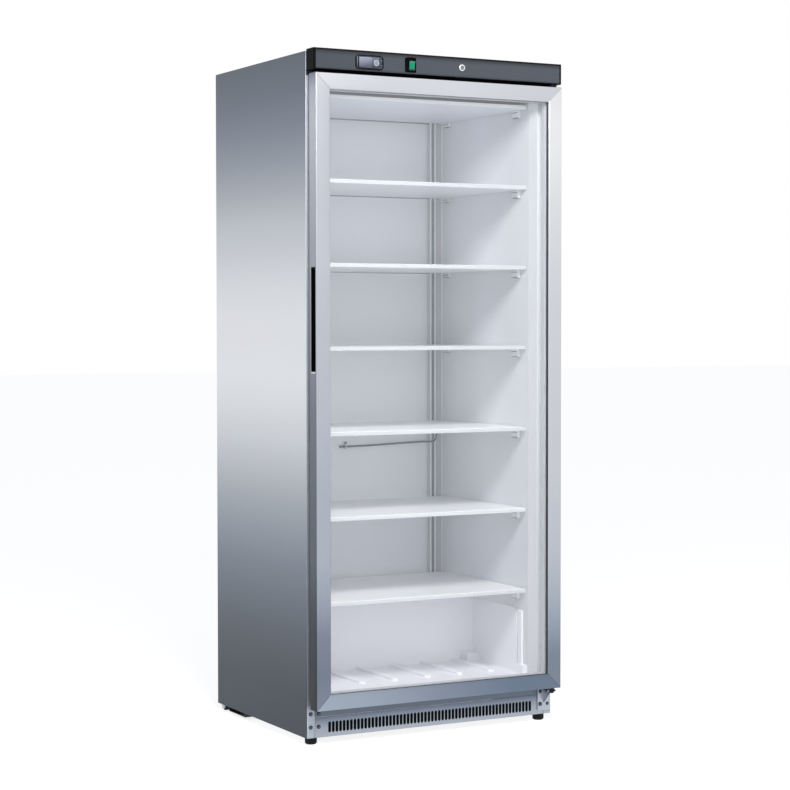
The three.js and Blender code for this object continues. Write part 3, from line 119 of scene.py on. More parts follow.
class Finish:
    """The finish of a surface: a node tree with a Principled shader in it."""

    def __init__(self, name, constants, owner=None):
        self.owner = owner or bpy.data.materials.new(name)
        self.owner.use_nodes = True
        self.tree = self.owner.node_tree
        self.shader = self.tree.nodes.get("Principled BSDF")
        for socket, value in constants.items():
            self.shader.inputs[socket].default_value = value

    def node(self, kind, settings, inputs, output=0):
        made = self.tree.nodes.new(kind)
        for name, value in settings.items():
            if name == "stops":
                self.lay_stops(made.color_ramp, value)
            else:
                setattr(made, name, value)
        for key, value in inputs.items():
            self.feed(made.inputs[key], value)
        return Field(self, made.outputs[output])

    def lay_stops(self, ramp, stops):
        ramp.elements.remove(ramp.elements[1])
        ramp.elements[0].position = stops[0][0]
        ramp.elements[0].color = stops[0][1]
        for position, colour in stops[1:]:
            ramp.elements.new(position).color = colour

    def feed(self, socket, value):
        if isinstance(value, Field):
            self.tree.links.new(value.socket, socket)
        elif isinstance(value, (int, float)) and socket.type == "RGBA":
            socket.default_value = (value, value, value, 1)
        elif isinstance(value, (int, float)) and socket.type == "VECTOR":
            socket.default_value = (value, value, value)
        else:
            socket.default_value = value

    def set(self, **fields):
        for name, value in fields.items():
            self.feed(self.shader.inputs[name.replace("_", " ")], value)

    def place(self, axis=None):
        """Where a point lies on the freezer in metres: all three numbers, or one of them."""
        spot = self.node("ShaderNodeTexCoord", {}, {}, "Object")
        return spot if axis is None else self.node("ShaderNodeSeparateXYZ", {}, {0: spot}, axis)

    def speckle(self, size, stretch=(1, 1, 1), detail=2.0):
        inputs = {"Vector": self.place() * stretch, "Scale": 1 / size, "Detail": detail}
        return self.node("ShaderNodeTexNoise", {}, inputs)

    def bump(self, height, strength, distance):
        inputs = {"Strength": strength, "Distance": distance, "Height": height}
        return self.node("ShaderNodeBump", {}, inputs)

    def mix(self, first, second, share):
        return self.node("ShaderNodeMix", {"data_type": "RGBA"}, {0: share, 6: first, 7: second}, 2)

    def ramp(self, share, stops):
        return self.node("ShaderNodeValToRGB", {"stops": stops}, {0: share})

    def by_height(self, tones):
        """A colour that changes up the freezer; tones lists (height in mm, colour)."""
        stops = [(height / freezer_height, shade(*colour)) for height, colour in tones]
        share = self.place("Z") / (freezer_height / 1000)
        return self.ramp(share, stops)

    def along(self, tones):
        """A colour that changes from left to right; tones lists (mm from the middle, colour)."""
        stops = [(place / freezer_width + 0.5, shade(*colour)) for place, colour in tones]
        share = self.place("X") / (freezer_width / 1000) + 0.5
        return self.ramp(share, stops)


def seen_directly(finish):
    """1 where a ray comes from the camera, a mirror or glass, and 0 for light on the freezer."""
    path = finish.tree.nodes.new("ShaderNodeLightPath")
    straight = Field(finish, path.outputs["Is Camera Ray"])
    mirrored = Field(finish, path.outputs["Is Glossy Ray"])
    through = Field(finish, path.outputs["Is Transmission Ray"])
    return (straight + mirrored + through) > 0.5


room = bpy.data.worlds.new("room")
bpy.context.scene.world = room
air = Finish("room", {}, room)
air.tree.nodes.clear()
soft_light = air.node("ShaderNodeBackground", {}, {"Color": (0.90, 0.94, 1.0, 1), "Strength": 0.39})
white_wall = air.node("ShaderNodeBackground", {}, {"Color": (1, 1, 1, 1), "Strength": 1.0})
shown = air.node("ShaderNodeMixShader", {}, {0: seen_directly(air), 1: soft_light, 2: white_wall})
world_end = air.tree.nodes.new("ShaderNodeOutputWorld")
air.feed(world_end.inputs["Surface"], shown)

floor_mesh = bpy.data.meshes.new("floor")
reach = 40
corners = [(-reach, -reach, 0), (reach, -reach, 0), (reach, reach, 0), (-reach, reach, 0)]
floor_mesh.from_pydata(corners, [], [(0, 1, 2, 3)])
floor = bpy.data.objects.new("floor", floor_mesh)
bpy.context.collection.objects.link(floor)
matt_white = {"Base Color": (0.9, 0.9, 0.9, 1), "Roughness": 0.8, "Specular IOR Level": 0.0}
paper = Finish("white_floor", matt_white)
glow = paper.node("ShaderNodeEmission", {}, {"Color": (1, 1, 1, 1), "Strength": 1.62})
lit = Field(paper, paper.shader.outputs[0])
blended = paper.node("ShaderNodeMixShader", {}, {0: seen_directly(paper) * 0.5, 1: lit, 2: glow})
paper.feed(paper.tree.nodes["Material Output"].inputs["Surface"], blended)
floor_mesh.materials.append(paper.owner)


def lamp(name, place, towards, width, height, watts, mirrored=True):
    light = bpy.data.lights.new(name, "AREA")
    light.shape = "RECTANGLE"
    light.size, light.size_y = width, height
    light.energy = watts
    light.color = (0.98, 0.99, 1.0)
    holder = bpy.data.objects.new(name, light)
    holder.location = place
    holder.rotation_euler = (Vector(towards) - Vector(place)).to_track_quat("-Z", "Y").to_euler()
    holder.visible_camera = False
    holder.visible_glossy = mirrored
    bpy.context.collection.objects.link(holder)


lamp("front_lamp", (-0.7, -2.05, 2.6), (0.05, 0, 0.85), 1.0, 0.7, 62)
lamp("side_lamp", (-3.4, -3.6, 1.5), (0, 0, 0.95), 2.2, 2.2, 22, mirrored=False)
lamp("fill_lamp", (0.5, -4.0, 1.3), (0, 0, 0.95), 2.6, 2.4, 40, mirrored=False)


# ---- Base frame ----
# A tray of folded galvanised sheet that carries the cabinet. It is open behind, where the
# compressor sits, and its rear corners are forks for the rollers. Spot welded.

def brushed(name, tones, roughness=0.34, grain=0.0007, metallic=1.0, level=False):
    """Steel with a fine level grain; painted reflection and shade are toned up it or, if level, across it.
    """
    metal = Finish(name, {"Metallic": metallic})
    streaks = metal.speckle(grain, (0.012, 0.012, 1), 3.0)
    waves = metal.speckle(0.35, (1, 1, 2.5), 1.0)
    tone = metal.along(tones) if level else metal.by_height(tones)
    metal.set(
        Base_Color=tone * (0.93 + 0.1 * streaks + 0.03 * waves),
        Roughness=roughness - 0.06 + 0.09 * streaks + 0.04 * waves,
        Normal=metal.bump(streaks, 0.06, 0.0003),
    )
    return metal.owner


def zinc_coated():
    """Galvanised sheet: overlapping grey flakes, each a little lighter or darker."""
    metal = Finish("galvanised", {"Metallic": 1.0})
    flakes = metal.node("ShaderNodeTexVoronoi", {}, {"Vector": metal.place(), "Scale": 90.0}, "Color")
    lightness = metal.node("ShaderNodeSeparateXYZ", {}, {0: flakes}, 0)
    tint = metal.mix(shade(150, 155, 160), shade(190, 193, 197), lightness)
    metal.set(Base_Color=tint, Roughness=0.42 + 0.16 * metal.speckle(0.01))
    return metal.owner


galvanised = zinc_coated()
rides = {node: body for body, nodes in frame["record"]["behaviour"]["bodies"].items() for node in nodes}


def put(name, mesh, body, *finishes):
    """Set a finished mesh in the scene on the body that carries it."""
    for finish in finishes:
        mesh.materials.append(finish)
    piece = bpy.data.objects.new(name, mesh)
    bpy.context.collection.objects.link(piece)
    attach(piece, body)
    return piece


def settled(piece):
    """The piece's mesh with its modifiers worked into it."""
    graph = bpy.context.evaluated_depsgraph_get()
    return bpy.data.meshes.new_from_object(piece.evaluated_get(graph))


def dress(node, *finishes, ease=0.8, rings=2, sharp=32, choose=None, edge_slot=-1):
    """Copy a solid, ease its sharp edges, and let the copy stand for it.

    ease is in mm and sharp in degrees. choose picks a finish by a face's normal and middle, and
    edge_slot is the finish of the eased edges, where it isn't their neighbours'.
    """
    mesh = frame["nodes"][node].data.copy()
    mesh.materials.clear()
    for finish in finishes:
        mesh.materials.append(finish)
    work = bmesh.new()
    work.from_mesh(mesh)
    bmesh.ops.remove_doubles(work, verts=work.verts, dist=2e-6)
    bmesh.ops.join_triangles(work, faces=work.faces, angle_face_threshold=0.01, angle_shape_threshold=3.1)
    for face in work.faces:
        face.smooth = True
        face.material_index = choose(face.normal, face.calc_center_median()) if choose else 0
    work.to_mesh(mesh)
    work.free()
    mesh.set_sharp_from_angle(angle=math.radians(sharp))
    draft = bpy.data.objects.new(node + "_draft", mesh)
    bpy.context.collection.objects.link(draft)
    if ease:
        edges = draft.modifiers.new("edges", "BEVEL")
        edges.width = ease / 1000
        edges.segments = rings
        edges.limit_method = "ANGLE"
        edges.angle_limit = math.radians(sharp)
        edges.use_clamp_overlap = False
        edges.material = edge_slot
    draft.modifiers.new("flats", "WEIGHTED_NORMAL").keep_sharp = not ease
    finished = settled(draft)
    bpy.data.objects.remove(draft)
    piece = put(node + "_finished", finished, rides[node])
    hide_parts(node)
    return piece


def rail_or_tray(normal, middle):
    return 1 if normal.y < -0.9 and middle.y < -0.28 else 0


# Painted shadow of the door on the lower front rail.
rail_steel = brushed("rail_steel", [(20, (96, 104, 116)), (freezer_height, (96, 104, 116))])
# Painted shade on eased edges: in the gap where the rail meets the grille, and on the grille's top edge.
edge_shade = brushed("edge_shade", [(20, (44, 50, 61)), (freezer_height, (44, 50, 61))], 0.6, metallic=0.2)
dress("base_frame", galvanised, rail_steel, edge_shade, ease=0.5, rings=1, choose=rail_or_tray, edge_slot=2)


# ---- Insulation ----
# Rigid foam blown between the liner and the outer sheets. It is sealed in and shows nowhere.

def foamed():
    foam = Finish("insulation", {"Specular IOR Level": 0.2})
    cells = foam.speckle(0.004, detail=4.0)
    foam.set(
        Base_Color=foam.mix(shade(205, 190, 140), shade(232, 220, 176), cells),
        Roughness=0.9,
        Normal=foam.bump(cells, 0.4, 0.001),
    )
    return foam.owner


for slot in frame["nodes"]["insulation_foam"].material_slots:
    slot.material = foamed()


# ---- Liner ----
# One sheet of white plastic drawn into a mould: rounded corners, a flared mouth, soft panels
# pressed into the side walls and low ribs on the floor. It snaps into the front columns.

def moulded(name, colour, roughness=0.38, mottle=0.03, specular=0.4):
    """Plastic with the faint orange peel of its mould."""
    plastic = Finish(name, {"Specular IOR Level": specular})
    clouds = plastic.speckle(0.22, detail=2.0)
    peel = plastic.speckle(0.0022, detail=2.0)
    plastic.set(
        Base_Color=plastic.mix(shade(*colour), shade(*[c * (1 - 3 * mottle) for c in colour]), clouds),
        Roughness=roughness - 0.05 + 0.1 * clouds,
        Normal=plastic.bump(peel, 0.02, 0.0003),
    )
    return plastic.owner


def powder_coated(name, tones, roughness=0.36):
    """Baked white coat with its shallow orange peel, and painted light and shade toned over its height."""
    paint = Finish(name, {"Specular IOR Level": 0.45})
    peel = paint.speckle(0.0035, detail=2.5)
    tone = paint.by_height(tones)
    paint.set(
        Base_Color=paint.mix(tone, tone * 0.91, paint.speckle(0.3, detail=2.0)),
        Roughness=roughness - 0.06 + 0.12 * peel,
        Normal=paint.bump(peel, 0.1, 0.0004),
    )
    return paint.owner


def drawn_sheet():
    """The liner's plastic, with painted shade above, under shelves, by the pipes and in the rear right."""
    plastic = Finish("liner_white", {"Specular IOR Level": 0.4})
    across, back, up = plastic.place("X"), plastic.place("Y"), plastic.place("Z")
    clouds = plastic.speckle(0.22, detail=2.0)
    # Painted light and shade up the liner; the dark band from 1768 mm up is painted shade on the ceiling.
    tone = plastic.by_height([
        (132, (250, 249, 254)), (345, (250, 249, 254)), (420, (242, 245, 253)), (900, (248, 250, 254)),
        (1450, (248, 249, 253)), (1764, (244, 246, 251)), (1768, (140, 144, 160)), (1868, (140, 144, 160)),
    ])
    tone = plastic.mix(tone, tone * 0.97, clouds)
    above_hump = up > 0.36
    rear = (back > 0.2424) * above_hump
    # Painted shadow: a dark line on the back wall just under each of the top three shelves.
    for top in shelf_tops[:3]:
        shelf_shadow = (up > (top - 12.5) / 1000) * (up < (top - 7.0) / 1000)
        tone = plastic.mix(tone, shade(110, 118, 132), shelf_shadow * rear)
    # Painted shade on the back wall where it shows between the pipes and beside the left one.
    pipe_gap_shadow = (across > 0.296) * (across < 0.303)
    tone = plastic.mix(tone, shade(112, 118, 131), rear * pipe_gap_shadow)
    left_pipe_shadow = (across > 0.278) * (across < 0.287)
    tone = plastic.mix(tone, tone * 0.84, rear * left_pipe_shadow)
    # Painted shade in the rear right corner above the hump, and on the right wall, darker towards the
    # front.
    corner = (back > 0.236) * (across > 0.3105)
    tone = plastic.mix(tone, tone * 0.6, corner * above_hump)
    right_wall = across > 0.3275
    tone = plastic.mix(tone, tone * 0.8, right_wall * (0.0 - back) * 6.0)
    plastic.set(Base_Color=tone, Roughness=0.36 + 0.08 * clouds)
    return plastic.owner


def flare_or_wall(normal, middle):
    return 1 if middle.y < -0.262 and abs(normal.x) > 0.3 else 0


shelf_tops = [1757.5, 1530.0, 1302.5, 1075.0, 842.7, 610.4, 378.1]
# Painted light and shade on the liner's flared mouth, a copy of its white: darker upwards, bright at the
# very top.
flare_light_tones = [
    (132, (217, 217, 222)), (300, (213, 214, 218)), (700, (206, 207, 211)), (1300, (202, 203, 207)),
    (1600, (198, 199, 203)), (1700, (202, 203, 207)), (1750, (240, 241, 245)),
]
flare_lighting = powder_coated("flare_lighting", flare_light_tones, 0.5)
dress("inner_liner", drawn_sheet(), flare_lighting, ease=1.6, rings=3, sharp=20, choose=flare_or_wall)


# ---- Outer sheets ----
# Stainless steel with a level grain: two side panels folded round the front and rear edges, a
# top sheet and a plain back sheet. They hold the foam and are riveted where nobody looks.

# Painted reflection of the studio on the side and top sheets: brightest at mid height, darker above and
# below.
side_reflection_tones = [
    (20, (46, 55, 66)), (130, (56, 64, 74)), (215, (70, 77, 87)), (300, (84, 92, 102)),
    (390, (103, 111, 122)), (475, (120, 128, 140)), (560, (140, 148, 158)), (650, (162, 168, 176)),
    (735, (184, 188, 195)), (820, (203, 207, 212)), (905, (216, 219, 223)), (990, (224, 226, 230)),
    (1080, (222, 224, 228)), (1160, (221, 223, 227)), (1245, (213, 216, 221)), (1335, (199, 203, 209)),
    (1420, (186, 191, 198)), (1505, (164, 170, 179)), (1590, (142, 149, 160)), (1675, (121, 129, 143)),
    (1760, (104, 112, 126)), (1850, (90, 99, 110)),
]
side_steel = brushed("side_steel", side_reflection_tones)
# Painted light and shade on the columns' fronts: light below the door, darkest just above its lower edge,
# lighter upwards.
column_light_tones = [
    (20, (174, 181, 192)), (98, (170, 177, 188)), (106, (134, 138, 145)), (380, (149, 152, 160)),
    (670, (168, 172, 180)), (960, (183, 187, 195)), (1540, (200, 203, 210)), (1868, (202, 205, 212)),
]
column_steel = brushed("column_steel", column_light_tones, 0.5, metallic=0.35)


def front_or_side(normal, middle):
    return 1 if normal.y < -0.9 else 0


for node in ("left_side_panel", "right_side_panel", "top_panel"):
    dress(node, side_steel, column_steel, ease=0.45, rings=2, choose=front_or_side)
dress("back_panel", galvanised, ease=0.4, rings=1)


# ---- Shelf hooks ----
# White plastic strips that push into the liner's side walls, with a hook at the front and at
# the rear for every shelf.

def hook_face(normal, middle):
    return 1 if abs(normal.z) > 0.35 else 0


hook_white = moulded("hook_white", (243, 245, 249), 0.34)
hook_shade = moulded("hook_shade", (78, 84, 96), 0.4)
for node in ("shelf_support_left", "shelf_support_right"):
    dress(node, hook_white, hook_shade, ease=0.8, rings=2, choose=hook_face)


# ---- Evaporator shelves ----
# The cold comes from the shelves themselves: hollow plates with a turned-down rim, dipped in
# white powder coat and baked. They lie in the hooks and are joined to the pipes behind.

def shelf_face(normal, middle):
    if normal.z < -0.9:
        return 2
    return 1 if normal.y < -0.9 else 0


# Painted light and shade: the shelves' tops, front rims and undersides are lit and shaded copies of one
# white, toned over height.
shelf_lighting_paints = [
    powder_coated("shelf_white", [
        (378, (255, 255, 255)), (843, (251, 253, 254)), (1000, (210, 213, 218)), (1868, (228, 231, 236)),
    ]),
    powder_coated("shelf_rim_lighting", [
        (373, (218, 220, 224)), (605, (223, 225, 230)), (838, (213, 215, 220)), (1070, (207, 209, 215)),
        (1297, (206, 208, 213)), (1540, (199, 201, 206)), (1700, (255, 255, 255)),
    ]),
    powder_coated("shelf_under_lighting", [
        (840, (250, 251, 253)), (1291, (248, 250, 253)), (1519, (243, 245, 250)), (1746, (236, 239, 246)),
    ]),
]
for number in range(1, 8):
    dress(f"evaporator_shelf_{number}", *shelf_lighting_paints, ease=0.7, rings=2, choose=shelf_face)


# ---- Evaporator pipes ----
# Two coated steel pipes up the rear right corner, 8 mm across. A short bend runs from each to
# every shelf, and the right one goes out through the back wall to the compressor.

def bent(points, bend):
    """Round the corners of a route with arcs of one radius; all in mm."""
    steps = 8
    route = [Vector(point) for point in points]
    line = [route[0]]
    for before, corner, after in zip(route, route[1:], route[2:]):
        into = (corner - before).normalized()
        out = (after - corner).normalized()
        turn = into.angle(out, 0.0)
        if turn < 0.02:
            line.append(corner)
            continue
        cut = bend * math.tan(turn / 2)
        cut = min(cut, (corner - before).length * 0.49, (after - corner).length * 0.49)
        radius = cut / math.tan(turn / 2)
        start = corner - into * cut
        centre = start + (out - into * into.dot(out)).normalized() * radius
        axis = into.cross(out).normalized()
        for step in range(steps + 1):
            line.append(centre + Matrix.Rotation(turn * step / steps, 3, axis) @ (start - centre))
    line.append(route[-1])
    return line


def tube(routes, radius):
    """A mesh of round tubes along several routes; all in mm."""
    curve = bpy.data.curves.new("tube", "CURVE")
    curve.dimensions = "3D"
    curve.bevel_depth = radius / 1000
    curve.bevel_resolution = 6
    curve.use_fill_caps = True
    for line in routes:
        spline = curve.splines.new("POLY")
        spline.points.add(len(line) - 1)
        for point, spot in zip(spline.points, line):
            point.co = (*(spot / 1000), 1)
        spline.use_smooth = True
    draft = bpy.data.objects.new("tube_draft", curve)
    bpy.context.collection.objects.link(draft)
    mesh = settled(draft)
    bpy.data.objects.remove(draft)
    return mesh


pipe_line = 229  # how far back the risers stand
pipe_radius = 4
pipe_top = 1765.5


def branches(x, sideways):
    """The short bends from a riser to the rear edge of every shelf."""
    routes = []
    for top in shelf_tops:
        z = top - 5.5
        routes.append(bent([(x, pipe_line, z), (x + sideways, pipe_line, z), (x + sideways, 220.3, z)], 6))
    return routes


feed = [bent([(284, pipe_line, 368.6), (284, pipe_line, pipe_top)], 1)] + branches(284, -16)
way_out = [
    (300, pipe_line, pipe_top), (300, pipe_line, 356), (300, 275, 356),
    (300, 275, 110), (300, 219, 110), (232, 219, 110),
]
suction = [bent(way_out, 10)] + branches(300, 15)


def dipped():
    """White coat on tube, with painted shade along its two sides as seen from the front left."""
    coat = Finish("pipe_white", {"Specular IOR Level": 0.45})
    facing = coat.tree.nodes.new("ShaderNodeNewGeometry")
    around = Field(coat, facing.outputs["Normal"])
    flank = {0: around, 1: (0.88, -0.47, 0.0)}
    sideways = coat.node("ShaderNodeVectorMath", {"operation": "DOT_PRODUCT"}, flank, 1)
    shaded_flank = coat.node("ShaderNodeMath", {"operation": "ABSOLUTE"}, {0: sideways}) > 0.74
    dust = coat.speckle(0.004)
    tone = coat.mix(shade(232, 236, 244), shade(104, 110, 124), shaded_flank)
    coat.set(Base_Color=tone, Roughness=0.3 + 0.1 * dust)
    return coat.owner


pipe_white = dipped()
for node, routes in (("evaporator_feed_pipe", feed), ("evaporator_return_pipe", suction)):
    piece = put(node + "_finished", tube(routes, pipe_radius), "cabinet", pipe_white)
    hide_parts(node)


# ---- Air sensor ----
# A thermometer bulb in a clip screwed to the back wall. Its thin black lead runs to the right,
# loops behind the pipes and goes out through the wall.

def plate_or_bulb(normal, middle):
    return 1 if middle.y > 0.2393 or middle.y < 0.2333 else 0


black_plastic = moulded("black_plastic", (5, 5, 7), 0.5, 0.02, 0.03)
clip_white = moulded("clip_white", (225, 228, 235))
dress("air_sensor", black_plastic, clip_white, ease=0.4, rings=2, choose=plate_or_bulb)
lead_radius = 2.8
lead = [
    (13.4, 237, 770), (67, 237, 771), (185, 236, 775.5), (262, 235, 778),
    (277, 220.8, 778), (292, 220.6, 780), (298, 220.6, 789), (300, 220.6, 801),
    (310, 224, 806), (310, 230, 809), (310, 236, 811), (310, 245.5, 811),
]
piece = put("sensor_lead_finished", tube([bent(lead, 3.5)], lead_radius), "cabinet", black_plastic)
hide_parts("sensor_lead")


# ---- Control panel ----
# A dark grey moulding across the top, with a soft grain and a chamfered rim. It clips over the
# cabinet's front edge and hangs down behind the top of the door.

def grained():
    """Satin grey face, near black at its top; painted light to the right, painted shade where the rim
    turns at the right end.
    """
    face = Finish("panel_grey", {"Specular IOR Level": 0.1})
    grain = face.speckle(0.0016, detail=3.0)
    across, up = face.place("X"), face.place("Z")
    tone = face.ramp((up - 1.813) / 0.05, [
        (0.0, shade(50, 52, 57)), (0.12, shade(64, 68, 74)), (0.75, shade(64, 67, 73)),
        (0.92, shade(50, 52, 56)), (1.0, shade(34, 35, 38)),
    ])
    # Painted light: the face brightens towards the right.
    tone = tone * (0.98 + 0.5 * across) * (0.94 + 0.12 * grain)
    right_end_shade = across > 0.379
    face.set(Base_Color=face.mix(tone, shade(14, 15, 18), right_end_shade), Roughness=0.5 + 0.1 * grain)
    return face.owner


panel_grey = grained()
# Near black on every face but the front: partly the moulding's own black, partly painted shade on its ends
# and rim.
panel_end = moulded("panel_end", (12, 13, 16), 0.5, 0.02, 0.04)


def panel_face(normal, middle):
    return 0 if normal.y < -0.9 else 1


dress("control_panel", panel_grey, panel_end, ease=0.8, rings=2, choose=panel_face)


# ---- Controller ----
# A black case behind the panel with a window for the figures, one large key with a bright rim
# and two small keys beside it, each on its own spring.

def smoked():
    """Smoke grey lens with a black rim: painted reflection lightens it above, painted shade darkens it
    right of the keys.
    """
    lens = Finish("smoked_lens", {"Specular IOR Level": 0.15})
    across, up = lens.place("X"), lens.place("Z")
    inside = (across > -0.2615) * (across < -0.1855) * (up > 1.821) * (up < 1.852)
    tone = lens.ramp((up - 1.821) / 0.031, [
        (0.0, shade(40, 43, 50)), (0.35, shade(66, 70, 80)), (0.8, shade(92, 96, 108)),
        (1.0, shade(70, 74, 84)),
    ])
    shade_beyond_keys = across > -0.1945
    tone = lens.mix(tone, shade(50, 54, 64), shade_beyond_keys)
    tone = lens.mix(shade(7, 8, 10), tone, inside)
    lens.set(Base_Color=tone, Roughness=0.3 + 0.1 * lens.speckle(0.02))
    return lens.owner


smoked_lens = smoked()


def window_lens():
    """The figures' window, unlit: painted reflection lightens its upper left, painted shadow darkens its
    left rim.
    """
    lens = Finish("window_grey", {"Specular IOR Level": 0.15})
    slope = (lens.place("Z") - 1.822) / 0.029 - (lens.place("X") + 0.258) / 0.16
    tone = lens.ramp(slope, [
        (0.0, shade(66, 70, 80)), (0.5, shade(104, 108, 121)), (1.0, shade(126, 130, 144)),
    ])
    left_rim_shadow = lens.place("X") < -0.2545
    tone = lens.mix(tone, shade(12, 13, 16), left_rim_shadow)
    lens.set(Base_Color=tone, Roughness=0.3 + 0.1 * lens.speckle(0.02))
    return lens.owner


window_grey = window_lens()
key_silver = moulded("key_silver", (112, 117, 128), 0.3, 0.02, 0.3)
key_grey = moulded("key_grey", (74, 78, 88), 0.35, 0.02, 0.3)
dress("controller_case", smoked_lens, ease=0.6, rings=2)
dress("controller_display", window_grey, ease=0.5, rings=2)
dress("set_button", key_silver, ease=0.3, rings=1)
for node in ("up_button", "down_button"):
    dress(node, key_grey, ease=0.2, rings=1)


def hoop(x, y, z, radius, thickness):
    """A thin upright ring; all in mm."""
    points = []
    for step in range(41):
        angle = step * math.pi / 20
        points.append(Vector((x + radius * math.cos(angle), y, z + radius * math.sin(angle))))
    return tube([points], thickness)


key_bright = moulded("key_bright", (176, 180, 188), 0.25, 0.02, 0.5)
put("set_button_hoop", hoop(-203, -344.8, 1836, 7.2, 0.6), "set_button_body", key_bright)


# ---- Power switch ----
# A green rocker, moulded in clear plastic over a lamp, in a black housing that snaps into the
# panel. Its upper half stands proud while the freezer is on.

def tinted():
    """Clear green plastic over a lamp: deep green in the middle, painted shade at its lower end, painted
    reflection at its top.
    """
    lens = Finish("lamp_green", {"Specular IOR Level": 0.25})
    tone = lens.ramp((lens.place("Z") - 1.823) / 0.026, [
        (0.0, shade(8, 14, 14)), (0.1, shade(40, 74, 66)), (0.24, shade(2, 112, 82)),
        (0.74, shade(2, 116, 84)), (0.92, shade(70, 100, 92)), (1.0, shade(86, 92, 96)),
    ])
    lens.set(Base_Color=tone, Roughness=0.25 + 0.1 * lens.speckle(0.01))
    return lens.owner


dress("rocker_housing", black_plastic, ease=0.6, rings=2)
dress("power_rocker", tinted(), ease=0.8, rings=3)


# ---- Door lock ----
# A chromed barrel through the panel, held by a nut behind, with a flat cam on the plug that
# swings down behind the door's edge.

def polished(name, colour, roughness):
    """Smooth metal with a faint haze."""
    metal = Finish(name, {"Metallic": 1.0})
    haze = metal.speckle(0.01)
    tone = metal.mix(shade(*colour), shade(*[c * 0.93 for c in colour]), haze)
    metal.set(Base_Color=tone, Roughness=roughness + 0.1 * haze)
    return metal.owner


dress("lock_housing", polished("chrome", (236, 237, 240), 0.3), ease=0.5, rings=2, sharp=40)
dress("lock_plug", polished("plug_chrome", (150, 152, 158), 0.3), ease=0.2, rings=1, sharp=40)


# ---- Grille ----
# A stainless plate with a row of upright slots that lets air to the compressor. Its lower edge
# is folded back and it is held by screws through the columns.

def edge_or_plate(normal, middle):
    return 1 if normal.z > 0.5 and middle.z > 0.07 else 0


# Painted shade from the door on the grille, growing darker towards its top edge.
grille_shade_tones = [(20, (166, 171, 182)), (46, (150, 158, 170)), (64, (122, 131, 145)), (76, (94, 103, 117))]
grille_steel = brushed("grille_steel", grille_shade_tones)
dress("front_grille", grille_steel, edge_shade, ease=0.4, rings=1, choose=edge_or_plate, edge_slot=1)


def slot_shade_backing():
    """Open black foam behind the slots: painted shade that stands for the dark machine bay behind the
    grille.
    """
    foam = Finish("slot_shade_black", {"Base Color": shade(9, 9, 10), "Specular IOR Level": 0.1})
    pores = foam.node("ShaderNodeTexVoronoi", {}, {"Vector": foam.place(), "Scale": 420.0})
    foam.set(Roughness=0.8 + 0.2 * pores, Normal=foam.bump(pores, 0.8, 0.002))
    return foam.owner


def slab(low, high):
    """A closed box between two corners in mm, with its edges eased."""
    work = bmesh.new()
    size = [(top - bottom) / 1000 for bottom, top in zip(low, high)]
    middle = [(top + bottom) / 2000 for bottom, top in zip(low, high)]
    bmesh.ops.create_cube(work, size=1, matrix=Matrix.Translation(middle) @ Matrix.Diagonal((*size, 1)))
    bmesh.ops.bevel(work, geom=work.edges, offset=0.0006, segments=2, affect="EDGES", profile=0.5)
    mesh = bpy.data.meshes.new("slab")
    work.to_mesh(mesh)
    work.free()
    return mesh


# Painted shade: a black slab behind the slots darkens them as the machine bay would.
put("slot_shade_slab", slab((-340, -286.4, 26), (340, -281, 68)), "cabinet", slot_shade_backing())


# ---- Hinges ----
# Two folded steel plates screwed to the right column. The lower one carries the door on a pin
# with a washer and a nut, the upper one sits under the control panel.

def plate_or_arm(normal, middle):
    return 1 if middle.y < -0.296 and abs(normal.x) < 0.95 else 0


hinge_tones = [(20, (178, 184, 194)), (freezer_height, (178, 184, 194))]
hinge_steel = brushed("hinge_steel", hinge_tones, 0.4, metallic=0.8)
# Painted shade on the lower hinge's arm and on all of the upper hinge.
arm_shade_steel = brushed("arm_shade_steel", [(20, (46, 50, 58)), (freezer_height, (30, 32, 38))], 0.5)
dress("bottom_hinge", hinge_steel, arm_shade_steel, ease=0.4, rings=2, choose=plate_or_arm)
dress("top_hinge", arm_shade_steel, ease=0.4, rings=2)


# ---- Screws ----
# Black pan heads, in the hinge plate, the columns, the lower rail and the grille. They bite into
# the sheet behind.

def enamelled(name, colour, roughness):
    """Stoved paint with a fine peel."""
    enamel = Finish(name, {"Specular IOR Level": 0.5})
    peel = enamel.speckle(0.003)
    enamel.set(
        Base_Color=enamel.mix(shade(*colour), shade(*[c * 0.8 for c in colour]), peel),
        Roughness=roughness + 0.12 * peel,
        Normal=enamel.bump(peel, 0.12, 0.0004),
    )
    return enamel.owner


def crown_or_rim(normal, middle):
    return 1 if normal.y < -0.9 else 0


screw_black = enamelled("screw_black", (24, 27, 33), 0.4)
# Painted highlight on the front faces of the screw heads.
screw_crown_lit = enamelled("screw_crown_lit", (78, 88, 102), 0.4)
screws = (
    "hinge_screw_1", "hinge_screw_2", "hinge_screw_3",
    "column_screw_upper", "column_screw_lower", "rail_screw_left", "grille_screw_left",
)
for node in screws:
    dress(node, screw_black, screw_crown_lit, ease=0.3, rings=1, choose=crown_or_rim)


# ---- Feet and rollers ----
# Two black rubber feet on threaded stems hold the front level, and two hard rubber rollers on
# steel axles carry the rear.

def dusty_rubber():
    rubber = Finish("rubber_black", {"Specular IOR Level": 0.25})
    dust = rubber.speckle(0.02, detail=4.0)
    rubber.set(
        Base_Color=rubber.mix(shade(11, 11, 12), shade(11 * 1.35, 11 * 1.35, 12 * 1.35), dust),
        Roughness=0.6 + 0.2 * dust,
        Normal=rubber.bump(dust, 0.1, 0.0005),
    )
    return rubber.owner


rubber_black = dusty_rubber()
for node in ("front_foot_left", "front_foot_right", "rear_roller_left", "rear_roller_right"):
    dress(node, rubber_black, ease=0.6, rings=2)


